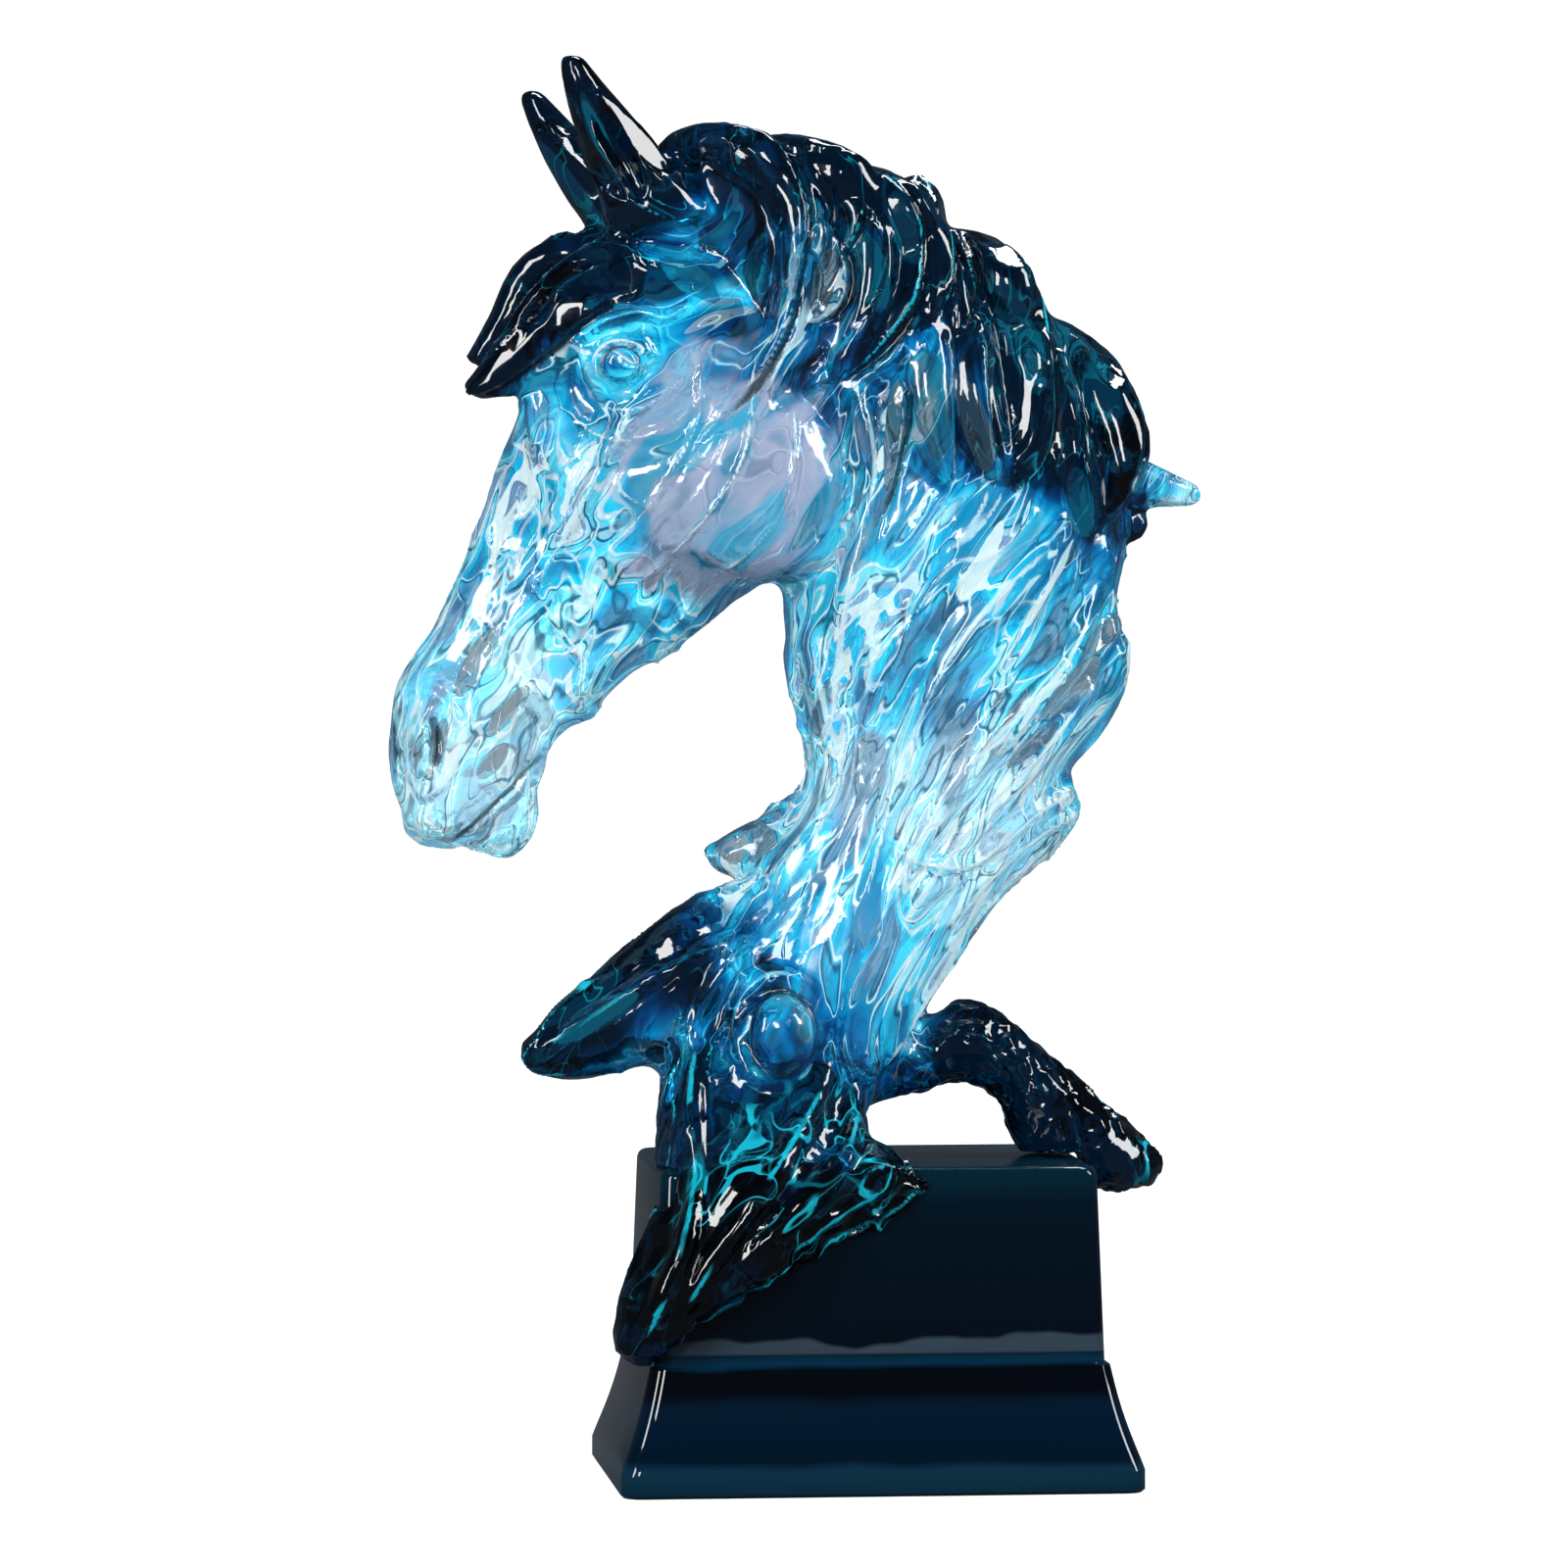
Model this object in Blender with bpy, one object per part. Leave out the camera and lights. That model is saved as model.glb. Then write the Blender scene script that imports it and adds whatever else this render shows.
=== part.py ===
"""A cast resin statue: a horse's head on a flowing neck, with a second, lower head that drapes
over the front left corner of a dark plinth.

Metres, +Z up, the horses face -X and the side that is seen is towards -Y. The origin is on the
underside, at the centre of the plinth.
"""

import math

import bmesh
import bpy
from mathutils import Matrix, Vector
from mathutils.bvhtree import BVHTree

# Plinth: a battered block on a flared skirt
BLOCK_WIDTH = 0.1060
BLOCK_DEPTH = 0.0720
BLOCK_HEIGHT = 0.0480
BLOCK_BATTER = 0.0018
BLOCK_CORNER = 0.0040
BLOCK_TOP_EDGE = 0.0022
SKIRT_HEIGHT = 0.0304
SKIRT_SPREAD = 0.0076
SKIRT_LEDGE = 0.0012
SKIRT_LIP = 0.0055
FOOT_BEVEL = 0.0008
PLINTH_HEIGHT = SKIRT_HEIGHT + BLOCK_HEIGHT

# Figure: drawn on a grid whose steps are shares of its own height above the plinth
FIGURE_HEIGHT = 0.2715
FIGURE_GRID_STEPS = 1130
STEP = FIGURE_HEIGHT / FIGURE_GRID_STEPS
DEPTH_STEP = 1.15 * STEP
GRID_MIDDLE = 10
GRID_SEAT = 14
SEAT_GAP = 0.0003
VOXEL = FIGURE_HEIGHT / 210
FIGURE_FACE_SHARE = 0.052
RELIEF_OVER_PLINTH = 16 * STEP

RING_SIDES = 20
LOCK_SIDES = 12
NEAR = -1
FAR = 1

COLOUR_FIGURE = (0.010, 0.330, 0.560, 1.0)
COLOUR_PLINTH = (0.002, 0.022, 0.050, 1.0)


# Each form below is a list of sections. A section is one outline point, the outline point
# opposite to it, the middle's place in depth and the half thickness in depth, in grid steps:
# ((x, z), (x, z), y, half_depth). The plinth's middle is GRID_MIDDLE steps to the left of x = 0,
# and its top lies GRID_SEAT steps above z = 0.

UPPER_HEAD = [
    ((-262, 968), (-52, 865), 0, 46),
    ((-308, 925), (-22, 765), 0, 74),
    ((-340, 845), (-14, 675), 0, 88),
    ((-366, 765), (-48, 604), 0, 84),
    ((-396, 685), (-115, 597), 0, 70),
    ((-426, 615), (-185, 544), 0, 55),
    ((-456, 555), (-242, 507), 0, 47),
    ((-484, 505), (-285, 471), 0, 46),
    ((-494, 450), (-326, 438), 0, 50),
    ((-492, 400), (-342, 400), 0, 48),
    ((-476, 362), (-350, 366), 0, 40),
    ((-452, 342), (-372, 342), 0, 26),
]

NECK = [
    ((-220, 975), (-158, 1052), 0, 40),
    ((-185, 925), (-72, 1040), 0, 56),
    ((-157, 865), (-4, 1012), 0, 68),
    ((-128, 792), (60, 956), 0, 80),
    ((-104, 725), (126, 906), 0, 90),
    ((-99, 670), (192, 838), 0, 96),
    ((-98, 622), (243, 764), 0, 100),
    ((-96, 585), (256, 690), 0, 104),
    ((-95, 550), (257, 622), 0, 106),
    ((-91, 525), (244, 576), 0, 106),
    ((-86, 500), (260, 536), 0, 106),
    ((-80, 470), (254, 490), 0, 104),
    ((-74, 435), (232, 447), 0, 102),
    ((-70, 400), (196, 405), 0, 100),
    ((-84, 362), (180, 350), 0, 97),
    ((-117, 325), (150, 300), 0, 96),
    ((-157, 265), (104, 238), -4, 94),
    ((-192, 195), (56, 178), -12, 92),
    ((-214, 125), (22, 124), -26, 90),
]

LOWER_HEAD = [
    ((-196, 190), (46, 165), -14, 90),
    ((-220, 125), (14, 112), -30, 88),
    ((-227, 65), (-16, 62), -50, 86),
    ((-230, 12), (-32, 15), -80, 84),
    ((-234, -25), (-44, -20), -104, 72),
    ((-246, -50), (-64, -48), -118, 62),
    ((-262, -82), (-105, -78), -132, 50),
    ((-275, -115), (-150, -108), -140, 42),
    ((-281, -145), (-195, -138), -144, 34),
    ((-280, -170), (-232, -175), -147, 22),
]

NEAR_EAR = [
    ((-272, 950), (-160, 975), -30, 34),
    ((-294, 1016), (-212, 1026), -36, 30),
    ((-311, 1062), (-252, 1074), -41, 25),
    ((-321, 1098), (-283, 1108), -45, 20),
    ((-325, 1130), (-302, 1132), -48, 13),
]

FAR_EAR = [
    ((-276, 935), (-210, 955), 30, 34),
    ((-312, 992), (-252, 1012), 36, 29),
    ((-335, 1034), (-287, 1050), 41, 25),
    ((-350, 1070), (-317, 1082), 45, 19),
    ((-359, 1099), (-338, 1103), 48, 12),
]

FORELOCK_BACK = [
    ((-262, 962), (-258, 920), 14, 22),
    ((-326, 952), (-312, 914), 20, 24),
    ((-368, 922), (-340, 890), 22, 20),
    ((-393, 868), (-364, 850), 20, 20),
    ((-416, 828), (-392, 816), 18, 14),
]

FORELOCK_FRONT = [
    ((-262, 958), (-224, 880), -30, 26),
    ((-320, 930), (-268, 850), -42, 28),
    ((-358, 893), (-296, 815), -48, 25),
    ((-386, 850), (-334, 796), -44, 20),
    ((-410, 815), (-378, 788), -38, 18),
    ((-424, 797), (-406, 784), -35, 13),
]

# The second horse's ears, both laid along the wind: a broad one and a small rounded one
LOWER_EAR = [
    ((-95, 316), (-160, 110), -22, 62),
    ((-165, 290), (-205, 108), -24, 56),
    ((-224, 261), (-242, 106), -28, 48),
    ((-276, 221), (-280, 102), -32, 40),
    ((-322, 180), (-320, 101), -36, 31),
    ((-352, 150), (-350, 104), -38, 22),
    ((-368, 136), (-366, 116), -39, 13),
]

LOWER_EAR_TIP = [
    ((-40, 410), (-20, 326), 10, 50),
    ((-92, 377), (-62, 300), 16, 40),
    ((-130, 353), (-104, 294), 20, 33),
    ((-154, 340), (-136, 298), 22, 27),
    ((-168, 328), (-160, 308), 23, 18),
]

WING_LOCK = [
    ((-60, 280), (0, 200), -10, 60),
    ((30, 345), (85, 238), -10, 58),
    ((105, 390), (155, 300), -8, 52),
    ((164, 410), (194, 338), -6, 42),
    ((198, 406), (212, 364), -5, 26),
]

ARCH_LOCK = [
    ((-30, 170), (-70, 30), 0, 66),
    ((12, 148), (-20, 58), 4, 56),
    ((52, 151), (34, 78), 6, 48),
    ((95, 173), (86, 90), 6, 46),
    ((140, 151), (128, 74), 4, 46),
    ((180, 119), (144, 32), 0, 46),
    ((219, 86), (168, -8), -2, 46),
    ((257, 51), (208, -22), -4, 40),
    ((281, 21), (246, -24), -4, 30),
    ((297, 5), (276, -15), -4, 18),
]

CREST_SPIKE = [
    ((236, 742), (238, 660), 0, 30),
    ((272, 729), (266, 676), 0, 25),
    ((306, 713), (302, 676), 0, 20),
    ((338, 698), (335, 678), 0, 15),
]

CREST_BARB = [
    ((232, 690), (226, 636), 4, 18),
    ((264, 678), (256, 642), 4, 18),
    ((286, 666), (278, 644), 4, 13),
]

# Rounded masses: (x, z), depth of the middle, then the half sizes along x, depth and z, and the
# turn in the side view in degrees
MASSES_ON_BOTH_SIDES = [
    ((-130, 700), 56, (110, 44, 96), 25),
    ((-262, 822), 64, (44, 26, 34), -20),
    ((-262, 862), 58, (64, 22, 16), 25),
    ((-452, 452), 34, (28, 22, 50), 20),
    ((-300, 700), 48, (38, 20, 120), -26),
]

MASSES = [
    ((-218, 968), 0, (60, 44, 42), 20),
    ((-451, 364), 0, (30, 36, 36), 0),
    ((-387, 368), 0, (43, 38, 47), 30),
    ((-302, 474), 0, (20, 26, 13), 30),
    ((-112, 150), -96, (40, 30, 38), 0),
    ((-18, 10), -118, (54, 34, 34), 25),
    ((-250, -156), -118, (27, 50, 24), 0),
]

# What is carved away on both sides: the hollows of the ears, the nostrils and the line of the lips
HOLLOWS = [
    ((-268, 1038), 66, (15, 20, 62), -26),
    ((-447, 452), 62, (11, 17, 40), 12),
    ((-414, 354), 44, (5, 26, 40), 40),
]

# Locks: the points that a lock follows, its greatest half width, and how far its back stands
# out, in grid steps. A point (x, z) is laid on what is under it, and a point (x, z, y) stays
# where it is, which is how a lock rolls over the crest.
MANE_LOCKS = [
    ([(-222, 1014, 12), (-190, 1042, -6), (-132, 1033, -44), (-95, 1000), (-80, 945), (-89, 865),
      (-127, 785), (-177, 718)], 28, 26),
    ([(-140, 1026, 6), (-96, 1032, -8), (-46, 1016, -46), (-20, 985), (-10, 915), (-30, 845),
      (-60, 792)], 30, 28),
    ([(-60, 1012, 4), (-8, 1001, -8), (27, 978, -50), (44, 935), (38, 885), (8, 825),
      (-46, 792)], 29, 28),
    ([(8, 998, 4), (40, 986, 0), (50, 944, -42), (66, 908), (72, 870), (33, 838)], 24, 26),
    ([(62, 946, 6), (102, 932, -6), (132, 902, -46), (150, 866), (162, 805), (146, 735),
      (106, 703)], 32, 28),
    ([(116, 894, 2), (142, 862, -16), (166, 824, -64), (182, 782), (186, 735), (170, 672)], 24, 26),
    ([(160, 856, 2), (201, 823, -8), (233, 783, -30), (250, 742, -48), (249, 702, -60),
      (230, 648)], 38, 32),
    ([(48, 858), (42, 795), (52, 735), (70, 692)], 24, 18),
    ([(93, 868), (92, 795), (108, 735), (126, 696)], 22, 18),
]

NECK_STRANDS = [
    ([(-22, 795), (-12, 715), (-27, 635), (-42, 550), (-50, 470)], 15, 10),
    ([(188, 655), (118, 595), (68, 535), (33, 465), (8, 395), (-12, 315), (-32, 235)], 18, 12),
    ([(222, 595), (178, 515), (108, 445), (48, 365), (8, 295), (-20, 220)], 19, 12),
    ([(216, 500), (158, 430), (88, 355), (38, 290), (0, 225)], 16, 10),
    ([(-72, 555), (-57, 475), (-42, 415), (-62, 355), (-100, 292)], 15, 10),
    ([(226, 640), (230, 578), (240, 520), (228, 472), (196, 440)], 20, 16),
    ([(92, 240), (56, 185), (26, 140), (0, 100)], 15, 9),
]

FACE_RIDGES = [
    ([(-246, 790), (-290, 710), (-330, 632)], 13, 9),
    ([(-300, 850), (-270, 872), (-228, 868), (-196, 838)], 12, 9),
    ([(-298, 812), (-270, 792), (-238, 798), (-214, 820)], 9, 7),
    ([(-474, 486), (-446, 506), (-424, 480), (-426, 436), (-444, 402)], 11, 8),
    ([(-478, 350), (-440, 372), (-398, 408), (-362, 436)], 12, 7),
    ([(-440, 332), (-398, 366), (-352, 410)], 14, 8),
]

LOWER_HEAD_STRANDS = [
    ([(-150, 230), (-186, 160), (-198, 90), (-200, 15), (-214, -58), (-240, -125), (-262, -172)],
     20, 11),
    ([(-60, 110), (-100, 45), (-142, -12), (-182, -72), (-220, -130)], 20, 11),
    ([(-24, 85), (-48, 30), (-92, -18), (-142, -66), (-195, -122)], 18, 10),
    ([(-22, 60), (-30, 14), (-58, -22), (-112, -62), (-176, -110)], 16, 9),
    ([(0, 6), (-24, -14), (-72, -44), (-130, -80), (-190, -120)], 18, 9),
    ([(44, 8), (0, -28), (-62, -58), (-122, -90), (-176, -122), (-212, -150)], 14, 9),
    ([(-152, 176), (-136, 196), (-102, 200), (-76, 180)], 11, 8),
    ([(-154, 140), (-134, 112), (-102, 104), (-70, 128)], 10, 7),
]


def on_grid(x, z, y=0.0):
    """A point of the figure from its place on the grid."""
    return Vector(
        ((x + GRID_MIDDLE) * STEP, y * DEPTH_STEP, PLINTH_HEIGHT + (z - GRID_SEAT) * STEP)
    )


def through(values, count):
    """Smooth samples of a list of equal-length number tuples, passing through each of them."""
    last = len(values) - 1
    samples = []
    for index in range(count):
        place = last * index / (count - 1)
        start = min(int(place), last - 1)
        t = place - start
        before, here, there, after = (
            values[min(max(start + offset, 0), last)] for offset in (-1, 0, 1, 2)
        )
        samples.append(
            tuple(
                0.5 * (2 * b + (c - a) * t + (2 * a - 5 * b + 4 * c - d) * t**2
                       + (3 * b - a - 3 * c + d) * t**3)
                for a, b, c, d in zip(before, here, there, after)
            )
        )
    return samples


def add_tube(bm, rings):
    """A closed skin over rings of points, each ring with as many points as the next."""
    loops = [[bm.verts.new(point) for point in ring] for ring in rings]
    sides = len(loops[0])
    for lower, upper in zip(loops, loops[1:]):
        for side in range(sides):
            following = (side + 1) % sides
            bm.faces.new((lower[side], lower[following], upper[following], upper[side]))
    bm.faces.new(reversed(loops[0]))
    bm.faces.new(loops[-1])


def ellipse(centre, across, through_depth, sides):
    """A ring of points round centre, reaching across one way and through_depth the other."""
    turns = (math.tau * side / sides for side in range(sides))
    return [centre + math.cos(turn) * across + math.sin(turn) * through_depth for turn in turns]


def add_sections(bm, sections, rings_each=3):
    """A form from its sections, smooth along its length."""
    flat = [(*a, *b, y, depth) for a, b, y, depth in sections]
    rings = []
    for ax, az, bx, bz, y, depth in through(flat, rings_each * (len(flat) - 1) + 1):
        first, second = on_grid(ax, az, y), on_grid(bx, bz, y)
        rings.append(
            ellipse((first + second) / 2, (second - first) / 2,
                    Vector((0, max(depth, 1) * DEPTH_STEP, 0)), RING_SIDES)
        )
    add_tube(bm, rings)


def add_mass(bm, place, y, half_sizes, turn):
    """A rounded mass, turned in the side view."""
    half_x, half_y, half_z = half_sizes
    matrix = (
        Matrix.Translation(on_grid(*place, y))
        @ Matrix.Rotation(math.radians(turn), 4, "Y")
        @ Matrix.Diagonal((half_x * STEP, half_y * DEPTH_STEP, half_z * STEP, 1))
    )
    bmesh.ops.create_icosphere(bm, subdivisions=3, radius=1.0, matrix=matrix)


def laid_on(ground, side, x, z, y=None):
    """The point and the outward normal of the ground under a grid place, seen from one side. With
    y, the point stays there, and y counts from the middle towards the near side."""
    if y is not None:
        place = on_grid(x, z, -side * y)
        return place, ground.find_nearest(place)[1]
    away = side * FIGURE_HEIGHT
    start = on_grid(x, z) + Vector((0, away, 0))
    place, normal, _, _ = ground.ray_cast(start, Vector((0, -side, 0)), FIGURE_HEIGHT)
    if place is None:
        place, normal, _, _ = ground.find_nearest(on_grid(x, z, side * RELIEF_OVER_PLINTH / STEP))
    return place, normal


def lock_width(share):
    """How wide a lock is along its length: it swells from a blunt root and ends in a point."""
    return max(math.sin(math.pi * (0.12 + 0.88 * share) ** 0.75), 0.06) ** 0.8


def add_lock(bm, ground, points, half_width, height, side, shift=0.0):
    """A lock of hair that follows points over the ground."""
    laid = [laid_on(ground, side, x + shift, *rest) for x, *rest in points]
    path = through([(*place, *normal) for place, normal in laid], 4 * len(points))
    rings = []
    for index, sample in enumerate(path):
        centre, normal = Vector(sample[:3]), Vector(sample[3:]).normalized()
        ahead = Vector(path[min(index + 1, len(path) - 1)][:3])
        behind = Vector(path[max(index - 1, 0)][:3])
        across = (ahead - behind).cross(normal).normalized()
        swell = lock_width(index / (len(path) - 1)) * STEP
        rings.append(
            ellipse(centre, across * half_width * swell, normal * height * swell, LOCK_SIDES)
        )
    add_tube(bm, rings)


def rounded_rectangle(half_x, half_y, radius, z, arc_steps=4):
    """The corners' arcs of a rectangle at height z, as one ring of points."""
    radius = min(radius, half_x, half_y)
    ring = []
    for quarter, (sign_x, sign_y) in enumerate(((1, 1), (-1, 1), (-1, -1), (1, -1))):
        centre = Vector((sign_x * (half_x - radius), sign_y * (half_y - radius), z))
        for step in range(arc_steps + 1):
            turn = math.pi / 2 * (quarter + step / arc_steps)
            ring.append(centre + radius * Vector((math.cos(turn), math.sin(turn), 0)))
    return ring


def plinth_profile():
    """(how far out from the block's top sides, height) from the foot to the top edge."""
    block_foot = BLOCK_BATTER
    skirt_top = block_foot + SKIRT_LEDGE
    skirt_foot = skirt_top + SKIRT_SPREAD
    profile = [(skirt_foot - FOOT_BEVEL, 0.0), (skirt_foot, FOOT_BEVEL)]
    slope_steps = 7
    for step in range(slope_steps + 1):
        share = step / slope_steps
        height = SKIRT_LIP + (SKIRT_HEIGHT - SKIRT_LIP) * share
        # Convex over the lip, then a slightly hollow slope up to the block
        out = skirt_top + SKIRT_SPREAD * (1 - share**1.1)
        profile.append((out - 0.12 * SKIRT_SPREAD * math.sin(math.pi * share), height))
    profile.append((block_foot, SKIRT_HEIGHT + SKIRT_LEDGE / 2))
    straight = BLOCK_HEIGHT - BLOCK_TOP_EDGE
    profile.append((BLOCK_BATTER * BLOCK_TOP_EDGE / BLOCK_HEIGHT, SKIRT_HEIGHT + straight))
    edge_steps = 4
    for step in range(1, edge_steps + 1):
        turn = math.pi / 2 * step / edge_steps
        profile.append((-BLOCK_TOP_EDGE * (1 - math.cos(turn)),
                        SKIRT_HEIGHT + straight + BLOCK_TOP_EDGE * math.sin(turn)))
    return profile


def add_plinth(bm, grow=0.0):
    """The plinth's skin, grown outwards by grow on its sides and top."""
    rings = []
    for out, height in plinth_profile():
        rings.append(
            rounded_rectangle(BLOCK_WIDTH / 2 + out + grow, BLOCK_DEPTH / 2 + out + grow,
                              BLOCK_CORNER + grow, height)
        )
    if grow:
        rings[-1] = [point + Vector((0, 0, grow)) for point in rings[-1]]
        rings[-2] = [point + Vector((0, 0, grow / 2)) for point in rings[-2]]
    add_tube(bm, rings)


def object_from(bm, name, colour, roughness):
    """A smooth shaded object from a bmesh, with its own material."""
    bmesh.ops.recalc_face_normals(bm, faces=bm.faces)
    mesh = bpy.data.meshes.new(name)
    bm.to_mesh(mesh)
    bm.free()
    made = bpy.data.objects.new(name, mesh)
    bpy.context.scene.collection.objects.link(made)
    material = bpy.data.materials.new(name + "_resin")
    material.use_nodes = True
    shader = material.node_tree.nodes["Principled BSDF"]
    shader.inputs["Base Color"].default_value = colour
    shader.inputs["Roughness"].default_value = roughness
    shader.inputs["Metallic"].default_value = 0.0
    mesh.materials.append(material)
    mesh.shade_smooth()
    mesh.set_sharp_from_angle(angle=math.radians(40))
    return made


def make_plinth():
    """The dark block on its skirt."""
    bm = bmesh.new()
    add_plinth(bm)
    return object_from(bm, "plinth", COLOUR_PLINTH, 0.05)


def make_plinth_cutter():
    """What the figure keeps clear of: the plinth, grown by the gap of its seat."""
    bm = bmesh.new()
    add_plinth(bm, SEAT_GAP)
    cutter = object_from(bm, "plinth_cutter", COLOUR_PLINTH, 0.05)
    cutter.hide_render = True
    cutter.display_type = "WIRE"
    return cutter


def make_hollow_cutter():
    """What is carved out of the figure."""
    bm = bmesh.new()
    for place, y, half_sizes, turn in HOLLOWS:
        for side in (NEAR, FAR):
            add_mass(bm, place, side * y, half_sizes, turn)
    cutter = object_from(bm, "hollow_cutter", COLOUR_FIGURE, 0.06)
    cutter.hide_render = True
    cutter.display_type = "WIRE"
    return cutter


def add_bodies(bm):
    """The large forms: both heads, the neck, the ears and the locks that stand free."""
    for sections in (UPPER_HEAD, NECK, LOWER_HEAD, NEAR_EAR, FAR_EAR, FORELOCK_BACK,
                     FORELOCK_FRONT, LOWER_EAR, LOWER_EAR_TIP, WING_LOCK, ARCH_LOCK,
                     CREST_SPIKE, CREST_BARB):
        add_sections(bm, sections)
    for place, y, half_sizes, turn in MASSES:
        add_mass(bm, place, y, half_sizes, turn)
    for place, y, half_sizes, turn in MASSES_ON_BOTH_SIDES:
        for side in (NEAR, FAR):
            add_mass(bm, place, side * y, half_sizes, turn)


def ground_of_locks():
    """What locks are laid on: the large forms and the plinth."""
    bm = bmesh.new()
    add_bodies(bm)
    add_plinth(bm)
    bmesh.ops.recalc_face_normals(bm, faces=bm.faces)
    tree = BVHTree.FromBMesh(bm)
    bm.free()
    return tree


def one_skin(figure, name):
    """A Remesh that melts what overlaps into one even skin."""
    remesh = figure.modifiers.new(name, "REMESH")
    remesh.mode = "VOXEL"
    remesh.voxel_size = VOXEL
    remesh.use_smooth_shade = True


def cut_away(figure, cutter, name):
    """A Boolean that takes the cutter out of the figure."""
    cut = figure.modifiers.new(name, "BOOLEAN")
    cut.operation = "DIFFERENCE"
    cut.solver = "EXACT"
    cut.object = cutter


def make_figure():
    """Both horses as one casting, cut to sit on the plinth and wrap its corner."""
    bm = bmesh.new()
    add_bodies(bm)
    ground = ground_of_locks()
    for points, half_width, height in MANE_LOCKS + NECK_STRANDS + FACE_RIDGES:
        add_lock(bm, ground, points, half_width, height, NEAR)
        add_lock(bm, ground, points, half_width, height, FAR, shift=half_width / 3)
    for points, half_width, height in LOWER_HEAD_STRANDS:
        add_lock(bm, ground, points, half_width, height, NEAR)
    figure = object_from(bm, "horse_figure", COLOUR_FIGURE, 0.06)

    one_skin(figure, "one_skin")
    cut_away(figure, make_hollow_cutter(), "hollows")
    one_skin(figure, "even_skin")
    smooth = figure.modifiers.new("melted", "SMOOTH")
    smooth.factor = 0.5
    smooth.iterations = 2
    thin = figure.modifiers.new("fewer_faces", "DECIMATE")
    thin.ratio = FIGURE_FACE_SHARE
    cut_away(figure, make_plinth_cutter(), "seat")


def main():
    for old in list(bpy.data.objects):
        bpy.data.objects.remove(old)
    make_plinth()
    make_figure()


main()
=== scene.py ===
import math

import bpy
import numpy as np
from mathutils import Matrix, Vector


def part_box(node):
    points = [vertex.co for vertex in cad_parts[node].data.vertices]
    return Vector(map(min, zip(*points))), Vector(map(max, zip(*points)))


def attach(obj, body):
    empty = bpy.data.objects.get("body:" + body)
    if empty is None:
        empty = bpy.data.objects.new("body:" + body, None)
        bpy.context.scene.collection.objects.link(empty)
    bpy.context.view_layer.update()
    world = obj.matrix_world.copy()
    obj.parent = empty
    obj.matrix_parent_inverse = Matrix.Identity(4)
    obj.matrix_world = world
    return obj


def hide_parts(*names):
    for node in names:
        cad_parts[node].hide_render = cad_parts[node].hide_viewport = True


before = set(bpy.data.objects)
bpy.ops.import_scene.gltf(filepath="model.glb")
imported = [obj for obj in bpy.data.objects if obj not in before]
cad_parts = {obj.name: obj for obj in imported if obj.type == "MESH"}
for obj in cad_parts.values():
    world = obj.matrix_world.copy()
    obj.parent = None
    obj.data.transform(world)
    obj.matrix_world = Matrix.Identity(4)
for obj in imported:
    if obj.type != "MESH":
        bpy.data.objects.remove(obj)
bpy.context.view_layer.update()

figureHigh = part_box("horse_figure")[1]
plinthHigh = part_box("plinth")[1]
plinthTop = plinthHigh.z

# The side view is read in steps. Their zero is near the plinth's middle and just under its top,
# x grows to the right and z upwards, and 1117 of them reach from the plinth's top to the ear's tip.
steps = dict(aboveTop=1117, middle=10, seat=14)
step = (figureHigh.z - plinthTop) / steps["aboveTop"]


def inSteps(points):
    x = points[:, 0] / step - steps["middle"]
    z = (points[:, 2] - plinthTop) / step + steps["seat"]
    return x, points[:, 1] / step, z


# The floor, lamps and camera
studio = dict(
    floorRadius=3.2,
    floorCurve=0.8,        # from the floor into the wall
    wallHeight=2.2,
    # light of the floor and wall: behind the object, elsewhere, and as the camera sees it
    floorLight=dict(behind=(1.35, 1.36, 1.36), elsewhere=(0.05, 0.06, 0.07), seen=(1.02, 1.025, 1.02)),
    room=(0.03, 0.035, 0.045, 1.0),
    aim=(0, 0, 0.18),      # what the lamps point at
    camera=dict(azimuth=-6, elevation=2, target=(-0.0197, 0.0, 0.1699), distance=2.0, frameWidth=0.384),
    lights=dict(
        left=dict(at=(-1.3, -1.1, 0.8), size=(0.3, 1.0), power=18),
        right=dict(at=(1.3, -0.55, 1.0), size=(0.34, 0.9), power=16),
        top=dict(at=(0.3, 0.5, 1.65), size=(0.9, 0.35), power=20),
        front=dict(at=(-0.5, -1.9, 0.9), size=(0.3, 0.45), power=9),
    ),
)


def cameraPlace():
    view = studio["camera"]
    turn, lift = math.radians(view["azimuth"]), math.radians(view["elevation"])
    back = Vector((math.sin(turn) * math.cos(lift), -math.cos(turn) * math.cos(lift), math.sin(lift)))
    return Vector(view["target"]) + back * view["distance"]


# Small helpers
def say(text):
    print("scene:", text, flush=True)


def onlySelect(obj):
    bpy.ops.object.select_all(action="DESELECT")
    obj.select_set(True)
    bpy.context.view_layer.objects.active = obj


def aimAt(obj, target):
    obj.rotation_euler = (Vector(target) - obj.location).to_track_quat("-Z", "Y").to_euler()


def applyAll(obj):
    onlySelect(obj)
    for modifier in list(obj.modifiers):
        bpy.ops.object.modifier_apply(modifier=modifier.name)


def readVectors(items, what):
    flat = np.empty(len(items) * 3, np.float32)
    items.foreach_get(what, flat)
    return flat.reshape(-1, 3).astype(float)


def drawRings(rings, extrude):
    # draws what is selected upwards, ring by ring: half sizes in X and Y, and height
    for (x, y, z), (nextX, nextY, nextZ) in zip(rings, rings[1:]):
        extrude(TRANSFORM_OT_translate={"value": (0, 0, nextZ - z)})
        bpy.ops.transform.resize(value=(nextX / x, nextY / y, 1))


def getPoints(mesh):
    return readVectors(mesh.vertices, "co")


def getNormals(mesh):
    return readVectors(mesh.vertex_normals, "vector")


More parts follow.
